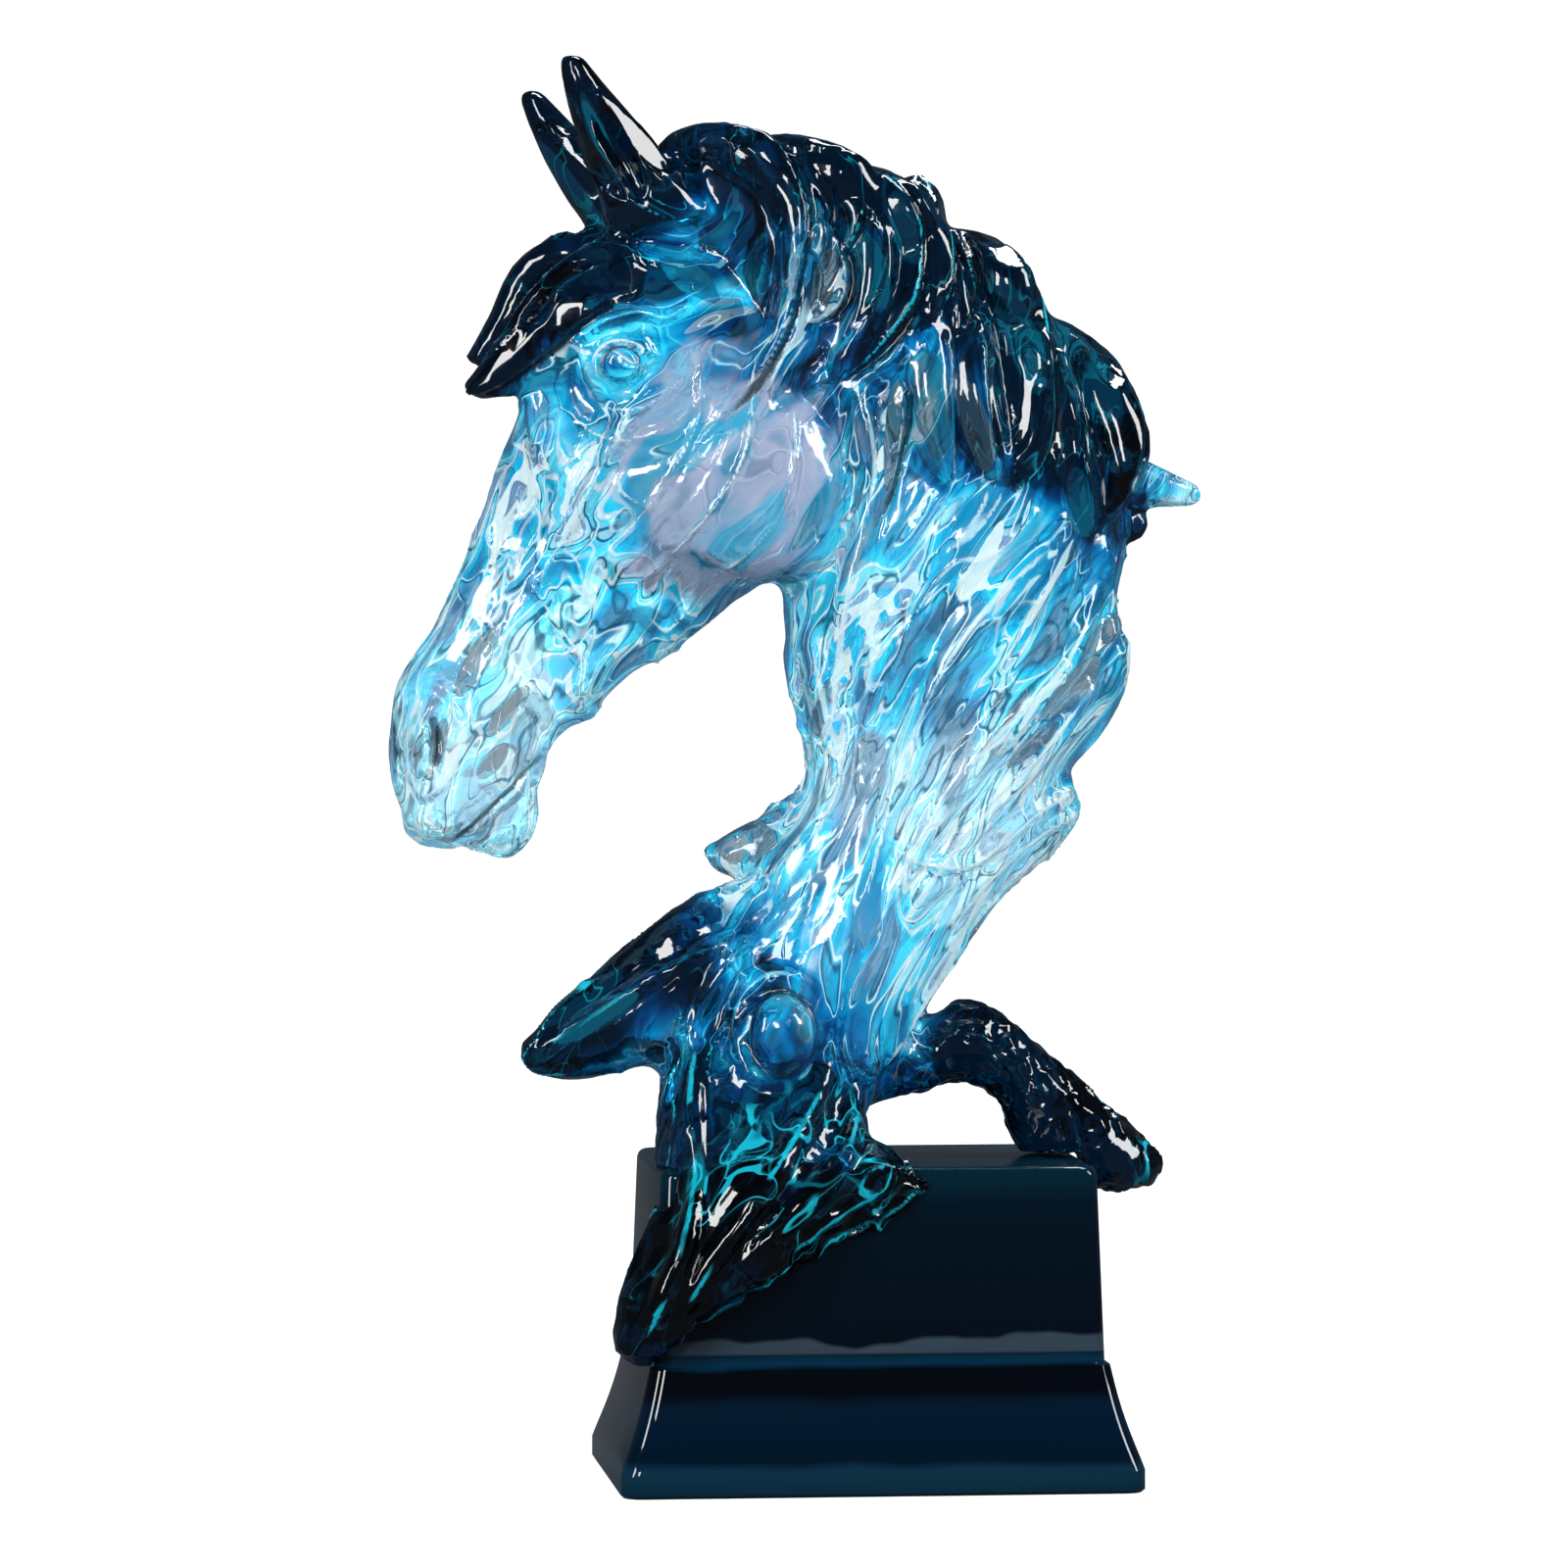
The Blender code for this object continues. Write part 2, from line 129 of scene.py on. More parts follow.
def setPoints(mesh, points):
    mesh.vertices.foreach_set("co", points.astype(np.float32).ravel())
    mesh.update()


def keep(mesh, name, values):
    # a value or vector for each vertex, for the materials
    kind, what = ("FLOAT", "value") if values.ndim == 1 else ("FLOAT_VECTOR", "vector")
    mesh.attributes.new(name, kind, "POINT").data.foreach_set(what, values.astype(np.float32).ravel())


def smoothStep(low, high, value):
    t = np.clip((value - low) / (high - low), 0.0, 1.0)
    return t * t * (3 - 2 * t)


def bell(value):
    return np.exp(-value * value)


noiseCells = 64
noiseTable = np.random.default_rng(7).uniform(-1, 1, (noiseCells,) * 3)


def soften(points, pairs, rounds, widen=-0.53, pull=0.5):
    # evens out a skin without making it smaller: each round pulls in and pushes out again
    first, second = pairs[:, 0], pairs[:, 1]
    count = np.bincount(first, minlength=len(points)) + np.bincount(second, minlength=len(points))
    count = np.maximum(count, 1)
    for _ in range(rounds):
        for amount in (pull, widen):
            moved = np.empty_like(points)
            for axis in range(3):
                total = np.bincount(first, points[second, axis], len(points))
                total += np.bincount(second, points[first, axis], len(points))
                moved[:, axis] = total / count - points[:, axis]
            points = points + amount * moved
    return points


def grain(u, v, w, shift=0.0):
    # smooth noise between -1 and 1
    total, last = 0.0, noiseCells - 1
    cells, fades = [], []
    for value in (u + shift * 3.7, v + shift * 5.3, w + shift * 7.1):
        low = np.floor(value)
        t = value - low
        cells.append(low.astype(int))
        fades.append(t * t * t * (t * (t * 6 - 15) + 10))
    for i in (0, 1):
        for j in (0, 1):
            for k in (0, 1):
                share = (fades[0] if i else 1 - fades[0]) * (fades[1] if j else 1 - fades[1])
                share = share * (fades[2] if k else 1 - fades[2])
                at = (cells[0] + i) & last, (cells[1] + j) & last, (cells[2] + k) & last
                total = total + share * noiseTable[at]
    return total


# Shader helpers
class Val:
    # wraps a socket, so that sums on values add their Math nodes
    def __init__(self, paint, socket):
        self.paint = paint
        self.socket = socket

    def sum(self, kind, first, second):
        node = self.paint.add("ShaderNodeMath", {"operation": kind}, {0: first, 1: second})
        return Val(self.paint, node.outputs[0])

    __add__ = __radd__ = lambda self, other: self.sum("ADD", self, other)
    __sub__ = lambda self, other: self.sum("SUBTRACT", self, other)
    __rsub__ = lambda self, other: self.sum("SUBTRACT", other, self)
    __mul__ = __rmul__ = lambda self, other: self.sum("MULTIPLY", self, other)
    __truediv__ = lambda self, other: self.sum("DIVIDE", self, other)
    __abs__ = lambda self: self.sum("ABSOLUTE", self, 0.0)


class Paint:
    def __init__(self, name):
        self.material = bpy.data.materials.new(name)
        self.material.use_nodes = True
        self.tree = self.material.node_tree
        self.shader = self.tree.nodes["Principled BSDF"]

    def add(self, kind, settings=None, values=None):
        node = self.tree.nodes.new(kind)
        for name, value in (settings or {}).items():
            setattr(node, name, value)
        self.fill(node, values or {})
        return node

    def fill(self, node, values):
        for name, value in values.items():
            self.feed(node.inputs[name], value)

    def feed(self, socket, value):
        if isinstance(value, Val):
            self.tree.links.new(value.socket, socket)
        elif isinstance(value, bpy.types.NodeSocket):
            self.tree.links.new(value, socket)
        elif socket.type == "RGBA" and len(value) == 3:
            socket.default_value = (*value, 1.0)
        else:
            socket.default_value = value

    def attribute(self, name, output="Fac"):
        return Val(self, self.add("ShaderNodeAttribute", {"attribute_name": name}).outputs[output])

    def clamp(self, value):
        return Val(self, self.add("ShaderNodeClamp", {}, {"Value": value}).outputs[0])

    def smooth(self, value, low, high):
        node = self.add("ShaderNodeMapRange", {"interpolation_type": "SMOOTHSTEP"},
                        {"Value": value, "From Min": low, "From Max": high})
        return Val(self, node.outputs[0])

    def mix(self, factor, first, second):
        # inputs 0, 6 and 7 of a Mix node are the factor and the two colours
        return self.add("ShaderNodeMix", {"data_type": "RGBA"}, {0: factor, 6: first, 7: second}).outputs[2]

    def part(self, vector, axis):
        return Val(self, self.add("ShaderNodeSeparateXYZ", {}, {0: vector}).outputs[axis])

    def lineAt(self, value, at, core, edge):
        # 1 on a thin line where a value passes another
        return 1 - self.smooth(abs(value - at), core, edge)

    def stretch(self, where, amounts):
        return self.add("ShaderNodeVectorMath", {"operation": "MULTIPLY"}, {0: where, 1: amounts}).outputs[0]

    def warped(self, where, size, amount):
        # the same place, pushed about by a noise
        push = self.add("ShaderNodeTexNoise", {}, {"Vector": where, "Scale": 1.0 / size, "Detail": 0.0})
        return self.add("ShaderNodeVectorMath", {"operation": "MULTIPLY_ADD"},
                        {0: push.outputs["Color"], 1: (amount, amount, amount), 2: where}).outputs[0]

    def noiseAt(self, where, size, detail=2.0, rough=0.5, twist=0.0):
        node = self.add("ShaderNodeTexNoise", {}, {"Vector": where, "Scale": 1.0 / size, "Detail": detail,
                                                   "Roughness": rough, "Distortion": twist})
        return Val(self, node.outputs[0])

    def ramp(self, value, stops):
        node = self.add("ShaderNodeValToRGB", {}, {"Fac": value})
        elements = node.color_ramp.elements
        while len(elements) < len(stops):
            elements.new(0.5)
        for element, (place, colour) in zip(elements, stops):
            element.position, element.color = place, (*colour, 1.0)
        return node.outputs[0]

    def bump(self, height, strength, distance):
        values = {"Strength": strength, "Distance": distance, "Height": height}
        return self.add("ShaderNodeBump", {}, values).outputs[0]


# The flow of hair and muscle over the figure, in the side view. Each stroke runs from the crest
# towards a muzzle or the plinth, in steps.
flowStrokes = [
    # mane
    [(-190, 1042), (-130, 1033), (-92, 985), (-80, 945), (-89, 865), (-127, 785), (-177, 718),
     (-230, 650)],
    [(-96, 1032), (-46, 1016), (-18, 975), (-10, 915), (-30, 845), (-70, 780)],
    [(-8, 1001), (30, 975), (44, 935), (38, 885), (8, 825), (-46, 780)],
    [(40, 986), (58, 940), (72, 870), (33, 830), (0, 790)],
    [(102, 932), (140, 890), (162, 805), (146, 735), (100, 690)],
    [(142, 862), (180, 790), (186, 735), (165, 660)],
    [(201, 823), (240, 770), (252, 720), (230, 648), (180, 590)],
    [(48, 858), (42, 795), (50, 735), (40, 640)],
    [(100, 868), (95, 795), (105, 735), (110, 680)],
    [(-150, 1010), (-170, 940), (-185, 880)],
    # head
    [(-250, 930), (-320, 840), (-352, 760), (-390, 660), (-430, 560), (-470, 460), (-480, 380)],
    [(-210, 800), (-280, 700), (-340, 600), (-390, 520), (-430, 430), (-450, 350)],
    [(-150, 850), (-190, 740), (-250, 640), (-310, 560), (-370, 480), (-400, 400)],
    [(-60, 800), (-60, 700), (-110, 630), (-190, 575), (-260, 520), (-330, 460)],
    [(-110, 800), (-130, 720), (-180, 640), (-250, 580)],
    # neck
    [(-20, 780), (-50, 680), (-70, 600), (-75, 520), (-70, 430), (-90, 350), (-140, 260)],
    [(60, 800), (40, 700), (10, 590), (-20, 490), (-30, 400), (-50, 300), (-80, 200)],
    [(150, 760), (110, 660), (60, 560), (20, 470), (0, 380), (-20, 290), (-50, 190)],
    [(240, 640), (170, 560), (110, 480), (60, 400), (20, 310), (-10, 210), (-50, 100)],
    [(250, 560), (210, 480), (150, 400), (90, 320), (40, 220), (10, 130)],
    [(250, 490), (200, 420), (140, 330), (90, 240)],
    # wing
    [(0, 250), (60, 300), (120, 345), (180, 378), (210, 392)],
    # lower head
    [(-150, 230), (-186, 160), (-198, 90), (-202, 15), (-218, -58), (-244, -125), (-264, -175)],
    [(-60, 200), (-80, 110), (-110, 40), (-150, -20), (-190, -80), (-235, -150)],
    [(0, 100), (-30, 30), (-80, -20), (-140, -66), (-200, -125)],
    [(44, 8), (0, -28), (-62, -58), (-122, -90), (-190, -132)],
    # lower ear
    [(-100, 260), (-165, 240), (-224, 215), (-290, 175), (-366, 130)],
    [(-120, 170), (-200, 160), (-280, 140), (-366, 124)],
    [(-40, 380), (-92, 350), (-140, 330), (-165, 318)],
    # arch
    [(-60, 120), (0, 115), (50, 118), (90, 135), (140, 112), (190, 70), (240, 22), (290, -2)],
    # ears
    [(-215, 960), (-250, 1030), (-290, 1090), (-312, 1130)],
    [(-240, 950), (-285, 1010), (-320, 1060), (-350, 1100)],
    # forelock
    [(-250, 940), (-320, 938), (-360, 905), (-385, 855), (-405, 822)],
    [(-240, 915), (-300, 890), (-345, 850), (-390, 812), (-415, 792)],
]
flowGrid = dict(low=(-620, -330), high=(460, 1250), cell=6, reach=17)


def toPiece(x, z, start, end):
    # the nearest place on a straight piece, as a share of it, and how far off it is
    dx, dz = end[0] - start[0], end[1] - start[1]
    t = np.clip(((x - start[0]) * dx + (z - start[1]) * dz) / (dx * dx + dz * dz), 0, 1)
    return t, x - start[0] - t * dx, z - start[1] - t * dz


def solveFlow():
    # the field follows the strokes, and two numbers, along and across, are found from it
    cell = flowGrid["cell"]
    sides = [np.arange(low, high, cell, float) for low, high in zip(flowGrid["low"], flowGrid["high"])]
    gridX, gridZ = np.meshgrid(*sides)
    sumX, sumZ = np.zeros((2, *gridX.shape))
    for stroke in flowStrokes:
        for start, end in zip(stroke, stroke[1:]):
            _, offX, offZ = toPiece(gridX, gridZ, start, end)
            pull = 1 / (offX**2 + offZ**2 + flowGrid["reach"] ** 2) ** 1.5
            sumX += pull * (end[0] - start[0])
            sumZ += pull * (end[1] - start[1])
    size = np.hypot(sumX, sumZ) + 1e-12
    wayX, wayZ = sumX / size, sumZ / size

    def fitted(fx, fz):
        # the smooth height whose slopes are nearest to (fx, fz)
        rows, columns = fx.shape
        fx = np.block([[fx, -fx[:, ::-1]], [fx[::-1], -fx[::-1, ::-1]]])
        fz = np.block([[fz, fz[:, ::-1]], [-fz[::-1], -fz[::-1, ::-1]]])
        spread = fx - np.roll(fx, 1, 1) + fz - np.roll(fz, 1, 0)
        waveX = np.fft.fftfreq(fx.shape[1]) * 2 * math.pi
        waveZ = np.fft.fftfreq(fx.shape[0]) * 2 * math.pi
        bend = 2 * np.cos(waveX)[None, :] + 2 * np.cos(waveZ)[:, None] - 4
        bend[0, 0] = np.inf
        return np.real(np.fft.ifft2(np.fft.fft2(spread) / bend))[:rows, :columns] * cell

    return fitted(wayX, wayZ), fitted(-wayZ, wayX)


def lookUp(table, x, z):
    # reads the grid between its points
    cell = flowGrid["cell"]
    u = np.clip((x - flowGrid["low"][0]) / cell, 0, table.shape[1] - 1.001)
    v = np.clip((z - flowGrid["low"][1]) / cell, 0, table.shape[0] - 1.001)
    i, j = u.astype(int), v.astype(int)
    s, t = u - i, v - j
    return ((table[j, i] * (1 - s) + table[j, i + 1] * s) * (1 - t)
            + (table[j + 1, i] * (1 - s) + table[j + 1, i + 1] * s) * t)


# Where the figure is dark or clear: place in steps, how far it reaches, and how dark it is. 0 is clear,
# 1 nearly black, and more than 1 black all over.
tones = dict(
    ears=[(-290, 1080, 60, 1.25), (-345, 1070, 50, 1.2), (-240, 1000, 50, 1.1)],
    forelock=[(-330, 905, 55, 1.1), (-395, 830, 45, 1.05), (-280, 930, 45, 0.95)],
    crest=[(-150, 1020, 60, 1.0), (-60, 1010, 60, 1.15), (40, 980, 60, 1.2), (120, 900, 60, 1.15),
           (200, 800, 60, 1.2), (245, 740, 50, 1.15), (230, 690, 50, 0.98)],
    spike=[(305, 690, 26, 0.2), (272, 716, 20, 0.3), (258, 700, 18, 0.35)],
    maneMiddle=[(-110, 930, 60, 0.78), (-20, 920, 60, 0.96), (60, 880, 60, 0.98), (110, 790, 60, 0.94),
                (180, 730, 60, 1.0), (30, 800, 50, 0.68), (-60, 850, 50, 0.56), (20, 740, 40, 0.6)],
    brow=[(-180, 940, 60, 0.68), (-200, 880, 50, 0.63), (-150, 830, 50, 0.6)],
    eye=[(-270, 820, 45, 0.46), (-320, 790, 50, 0.42)],
    cheek=[(-130, 740, 60, 0.44), (-90, 680, 60, 0.34), (-150, 650, 50, 0.3)],
    nose=[(-340, 700, 60, 0.32), (-390, 620, 60, 0.24), (-300, 620, 60, 0.26), (-430, 520, 60, 0.16)],
    muzzle=[(-450, 430, 60, 0.1), (-420, 370, 60, 0.08), (-360, 500, 60, 0.14)],
    throat=[(-60, 620, 50, 0.26), (30, 640, 60, 0.34), (120, 650, 60, 0.38), (200, 620, 50, 0.52)],
    neck=[(-50, 500, 60, 0.2), (60, 520, 70, 0.27), (160, 520, 70, 0.3), (232, 560, 45, 0.5),
          (-20, 400, 70, 0.12), (80, 400, 70, 0.08), (180, 420, 50, 0.2)],
    wing=[(150, 350, 60, 0.08), (60, 290, 60, 0.12), (206, 380, 36, 0.36)],
    lowNeck=[(-60, 300, 60, 0.3), (40, 220, 60, 0.2), (20, 140, 50, 0.4), (-20, 240, 50, 0.26)],
    lowerEar=[(-200, 220, 60, 1.0), (-290, 180, 50, 1.15), (-350, 130, 50, 1.0), (-220, 130, 50, 0.72),
              (-140, 320, 40, 0.26)],
    lowerHead=[(-110, 146, 50, 0.58), (-150, 230, 40, 0.6), (-170, 60, 60, 1.0), (-200, -40, 60, 1.2),
               (-240, -130, 60, 1.2), (-120, 20, 50, 0.98), (-60, 60, 50, 0.88), (-100, -60, 60, 1.1),
               (0, -10, 50, 0.98)],
    arch=[(20, 100, 40, 1.0), (90, 130, 50, 1.2), (160, 80, 50, 1.2), (230, 20, 60, 1.25),
          (280, 0, 50, 1.25)],
)


def toneAt(x, z):
    total, weight = np.zeros((2, len(x)))
    for spots in tones.values():
        for atX, atZ, reach, dark in spots:
            pull = 1.0 / (((x - atX) ** 2 + (z - atZ) ** 2) / reach**2 + 0.12) ** 2.2
            total += pull * dark
            weight += pull
    return total / weight


# The horse
horse = dict(
    weld=0.00001,          # metres, for the solid's doubled points
    voxel=0.00078,         # metres, the remeshed skin
    evenRounds=14,         # how often the skin is evened out first
    maneRounds=150,        # and again in the mane
    maneWiden=-0.51,       # how far each of these rounds pushes out
    facesKept=196000,      # triangles at the end
    clearance=0.0003,      # between the skin and the plinth
    lockRise=0.0012,       # how far a lock stands up in its middle
    lockCrease=0.0009,     # how deep the crease beside it is
    strandRise=0.00075,    # the long strands
    crumpleRise=0.00035,   # the crumpled neck
    pitRise=0.0006,        # the bumps of the arch
    hemRise=0.0017,        # the waves of the hem
    strandWidth=36,        # steps, and how far the strands wander
    forelockFrom=-230,     # locks that begin in front of this have no bright edge
)

# The plinth: a block with leaning sides on a flared skirt, in metres
plinth = dict(
    blockHeight=0.048, lean=0.0018, corner=0.0046, topEdge=0.0022, ledge=0.0012, spread=0.0076,
    skirtHeight=0.0304, lip=0.0055, footEdge=0.0008, slopeSteps=14, edgeSteps=6, cornerSides=10,
    cloudSize=0.016, waveSize=0.03, reflectionBandColour=(0.045, 0.075, 0.105),
    # linear colours at shares of the height; the lighter band at 0.045 to 0.08 is a painted highlight along
    # the foot's lip
    colours=[
        (0.0, (0.0006, 0.022, 0.048)), (0.045, (0.0032, 0.036, 0.068)),
        (0.08, (0.0042, 0.036, 0.072)), (0.11, (0.0003, 0.0084, 0.022)),
        (0.2, (0.0002, 0.0105, 0.031)), (0.27, (0.0002, 0.0105, 0.029)),
        (0.31, (0.0002, 0.0012, 0.005)), (0.385, (0.0002, 0.0012, 0.004)),
        (0.4, (0.0003, 0.035, 0.081)), (0.42, (0.0003, 0.0275, 0.062)),
        (0.436, (0.0002, 0.0038, 0.01)), (0.52, (0.0002, 0.0045, 0.012)),
        (0.7, (0.0002, 0.0062, 0.015)), (0.88, (0.0002, 0.0078, 0.018)),
        (0.96, (0.0006, 0.02, 0.039)),
    ],
)
footOut = plinth["lean"] + plinth["ledge"] + plinth["spread"]  # from the block's top sides to the foot's


def makePlinth():
    # a rounded plate, drawn upwards ring by ring
    p = plinth
    rings = [(footOut - p["footEdge"], 0.0), (footOut, p["footEdge"])]
    for turn in range(p["slopeSteps"] + 1):
        share = turn / p["slopeSteps"]
        out = p["lean"] + p["ledge"] + p["spread"] * (1 - share**1.1 - 0.12 * math.sin(math.pi * share))
        rings.append((out, p["lip"] + (p["skirtHeight"] - p["lip"]) * share))
    rings.append((p["lean"], p["skirtHeight"] + p["ledge"] / 2))
    rings.append((p["lean"] * p["topEdge"] / p["blockHeight"], plinthTop - p["topEdge"]))
    for turn in range(1, p["edgeSteps"] + 1):
        angle = 0.5 * math.pi * turn / p["edgeSteps"]
        inward, down = 1 - math.cos(angle), 1 - math.sin(angle)
        rings.append((-p["topEdge"] * inward, plinthTop - p["topEdge"] * down))

    rings = [(plinthHigh.x - footOut + out, plinthHigh.y - footOut + out, z) for out, z in rings]
    bpy.ops.mesh.primitive_plane_add(size=2)
    block = bpy.context.object
    block.name = "dark_plinth"
    bpy.ops.object.mode_set(mode="EDIT")
    bpy.ops.transform.resize(value=(*rings[0][:2], 1))
    bpy.ops.mesh.bevel(offset=p["corner"], segments=p["cornerSides"], affect="VERTICES")
    drawRings(rings, bpy.ops.mesh.extrude_region_move)
    bpy.ops.mesh.select_all(action="SELECT")
    bpy.ops.mesh.normals_make_consistent(inside=False)
    bpy.ops.object.mode_set(mode="OBJECT")
    bpy.ops.object.shade_smooth_by_angle(angle=math.radians(24))
    return block


def plinthPaint():
    paint = Paint("dark_resin")
    where = paint.add("ShaderNodeTexCoord").outputs["Object"]
    z = paint.part(where, 2)
    cloud = paint.noiseAt(paint.stretch(where, (0.3, 0.3, 1.0)), plinth["cloudSize"], twist=0.6)
    wave = paint.noiseAt(paint.stretch(where, (1.0, 1.0, 0.0)), plinth["waveSize"])
    up = z / plinthTop
    colour = paint.ramp(up + (cloud - 0.5) * 0.05, plinth["colours"])
    # painted reflection: a pale band along the foot of the block, wavy on top
    streak = paint.smooth(up, 0.425, 0.435) * (1 - paint.smooth(up - (wave - 0.5) * 0.16, 0.466, 0.482))
    colour = paint.mix(streak * paint.smooth(cloud, 0.25, 0.6), colour, plinth["reflectionBandColour"])
    # the top is a little duller than the sides
    upwards = paint.part(paint.add("ShaderNodeTexCoord").outputs["Normal"], 2)
    rough = paint.smooth(upwards, 0.8, 0.98) * 0.16 + cloud * 0.04 + 0.02
    normal = paint.bump(paint.noiseAt(where, 0.03, rough=0.4), 0.15, 0.002)
    paint.fill(paint.shader, {"Base Color": colour, "Roughness": rough, "IOR": 1.45, "Normal": normal})
    return paint.material


# Locks, from the crest to their tips: points, half width, how far up their layer lies and how much
# darker they are. A later one lies over an earlier one. Each has its raised edge on the left of its way.
locks = [
    ([(46, 850), (44, 800), (48, 750), (60, 700)], 24, 0.0, -0.16),
    ([(84, 860), (84, 800), (92, 745), (112, 702)], 20, 0.15, -0.08),
    ([(8, 806), (4, 750), (-4, 700), (-12, 660)], 14, 0.1, -0.12),
    ([(186, 745), (196, 705), (205, 672), (212, 640)], 15, 0.3, 0.4),
    ([(168, 880), (206, 842), (228, 800), (236, 755), (232, 705), (218, 655)], 36, 0.4, 0.1),
    ([(96, 962), (124, 930), (138, 885), (146, 835), (150, 780), (146, 730), (128, 694)], 28, 0.6, 0.22),
    ([(66, 968), (80, 930), (84, 890), (72, 852)], 14, 0.6, 0.05),
    ([(-8, 1016), (28, 1006), (46, 975), (54, 935), (56, 900), (44, 866)], 20, 0.8, 0.2),
    ([(-78, 966), (-62, 945), (-50, 915), (-54, 885), (-78, 862)], 15, 0.7, -0.36),
    ([(-120, 1050), (-84, 1046), (-52, 1030), (-34, 1000), (-34, 965), (-42, 930)], 18, 0.85, 0.25),
    ([(-70, 1030), (-30, 1012), (0, 988), (18, 958), (20, 925), (12, 890), (-10, 855), (-44, 820),
      (-80, 795)], 22, 0.95, 0.12),
    ([(-215, 1030), (-176, 1058), (-136, 1050), (-109, 1023), (-93, 985), (-92, 950), (-98, 911), (-106, 867),
      (-130, 815), (-160, 779), (-190, 742)], 14, 1.2, -0.1),
    ([(-250, 944), (-320, 942), (-360, 906), (-385, 855), (-408, 826)], 26, 0.5, 0.1),
    ([(-236, 915), (-300, 892), (-348, 850), (-390, 812), (-418, 792)], 22, 0.8, 0.1),
]

# Flat places that mirror a softbox to the camera: place, half length, half width in steps, the way
# they point, how far a point may move in metres, and the softbox
facets = [
    ((-253, 1053), 50, 11, -46, 0.0034, "right"),
    ((-296, 1028), 46, 8, -48, 0.0026, "front"),
    ((50, 995), 20, 8, -65, 0.0012, "top"),
    ((131, 928), 16, 10, -40, 0.0012, "top"),
    ((240, 812), 18, 10, -50, 0.0012, "top"),
    ((-330, 958), 24, 9, 10, 0.0012, "top"),
    ((-350, 872), 16, 8, 40, 0.0012, "left"),
    ((-216, 232), 24, 10, 45, 0.0012, "left"),
    ((248, 27), 16, 9, -40, 0.0012, "right"),
    ((-140, 1050), 16, 7, -10, 0.0012, "top"),
    ((32, 846), 12, 5, -20, 0.0012, "front"),
    ((-269, 824), 9, 5, 85, 0.0014, "front"),
]

# Carved lines: points in steps, half width in steps, and how far up or down in metres
carvings = [
    ([(-292, 862), (-252, 873), (-222, 868), (-190, 884)], 5, 0.0007),
    ([(-302, 795), (-272, 775), (-232, 783), (-200, 812)], 5, 0.0006),
    ([(-318, 770), (-277, 746), (-222, 756), (-175, 797)], 5, 0.0005),
    ([(-330, 742), (-285, 716), (-225, 726), (-160, 775)], 5, -0.0005),
    ([(-81, 885), (-57, 815), (-44, 735), (-57, 655), (-102, 607), (-152, 587)], 6, -0.0007),
    ([(-126, 850), (-134, 785), (-143, 734), (-167, 687), (-213, 631), (-260, 590)], 3, 0.0005),
    ([(-172, 850), (-186, 808), (-190, 762), (-232, 687), (-279, 631)], 4, 0.0006),
    ([(-150, 800), (-165, 750), (-190, 700), (-236, 640), (-275, 600)], 3, -0.0004),
    ([(-96, 800), (-92, 740), (-104, 680), (-140, 630), (-190, 596)], 3, 0.0005),
    ([(-467, 497), (-440, 492), (-424, 456), (-438, 408), (-462, 387), (-474, 425)], 6, 0.0009),
    ([(-455, 470), (-448, 440), (-452, 412)], 9, -0.0012),
    ([(-440, 331), (-398, 371), (-352, 412), (-318, 440)], 5, -0.0011),
    ([(-430, 318), (-390, 352), (-350, 380), (-335, 420)], 6, 0.0006),
    ([(-395, 560), (-370, 520), (-345, 480), (-330, 440)], 6, 0.0006),
    ([(-360, 610), (-325, 555), (-290, 510)], 6, 0.0006),
    ([(-246, 790), (-290, 710), (-330, 632), (-372, 560), (-410, 500)], 7, 0.0008),
    ([(-286, 790), (-330, 700), (-368, 620), (-404, 550)], 5, -0.0005),
    ([(-22, 795), (-12, 715), (-27, 635), (-42, 550), (-50, 470), (-70, 400)], 10, 0.0008),
    ([(188, 655), (118, 595), (68, 535), (33, 465), (8, 395), (-12, 315), (-32, 235)], 12, 0.0012),
    ([(222, 595), (178, 515), (108, 445), (48, 365), (8, 295), (-20, 220)], 12, 0.0011),
    ([(216, 500), (158, 430), (88, 355), (38, 290), (0, 225)], 10, 0.001),
    ([(-72, 555), (-57, 475), (-42, 415), (-62, 355), (-100, 292)], 10, 0.0008),
    ([(150, 640), (96, 585), (44, 520), (10, 440), (-10, 360), (-34, 270)], 7, -0.0009),
    ([(92, 240), (56, 185), (26, 140), (0, 100)], 9, 0.0008),
    ([(212, 392), (150, 362), (90, 322), (40, 280)], 8, 0.001),
    ([(222, 372), (160, 340), (100, 296), (50, 240)], 6, 0.0007),
    ([(-10, 345), (40, 318), (90, 322), (120, 344)], 6, 0.0008),
    ([(-150, 230), (-186, 160), (-198, 90), (-200, 15), (-214, -58), (-240, -125), (-262, -172)], 9, 0.0011),
    ([(-60, 110), (-100, 45), (-142, -12), (-182, -72), (-220, -130)], 10, 0.0012),
    ([(-24, 85), (-48, 30), (-92, -18), (-142, -66), (-195, -122)], 9, 0.0012),
    ([(0, 6), (-24, -14), (-72, -44), (-130, -80), (-190, -120)], 9, 0.001),
    ([(44, 8), (0, -28), (-62, -58), (-122, -90), (-176, -122), (-212, -150)], 8, 0.001),
    ([(-152, 176), (-136, 200), (-100, 206), (-70, 186)], 6, 0.001),
    ([(-156, 136), (-134, 108), (-100, 98), (-66, 124)], 6, 0.0009),
    ([(-120, 250), (-180, 232), (-240, 200), (-300, 160), (-350, 128)], 8, 0.0009),
]

# Eyes: place, half the ball's width in steps, its height as a share of its width, how far it stands out
# in metres, and which way its upper lid lies
eyes = [dict(at=(-267, 820), size=18, tall=0.92, rise=0.0013, lid=115),
        dict(at=(-107, 148), size=32, tall=1.25, rise=0.0024, lid=130)]

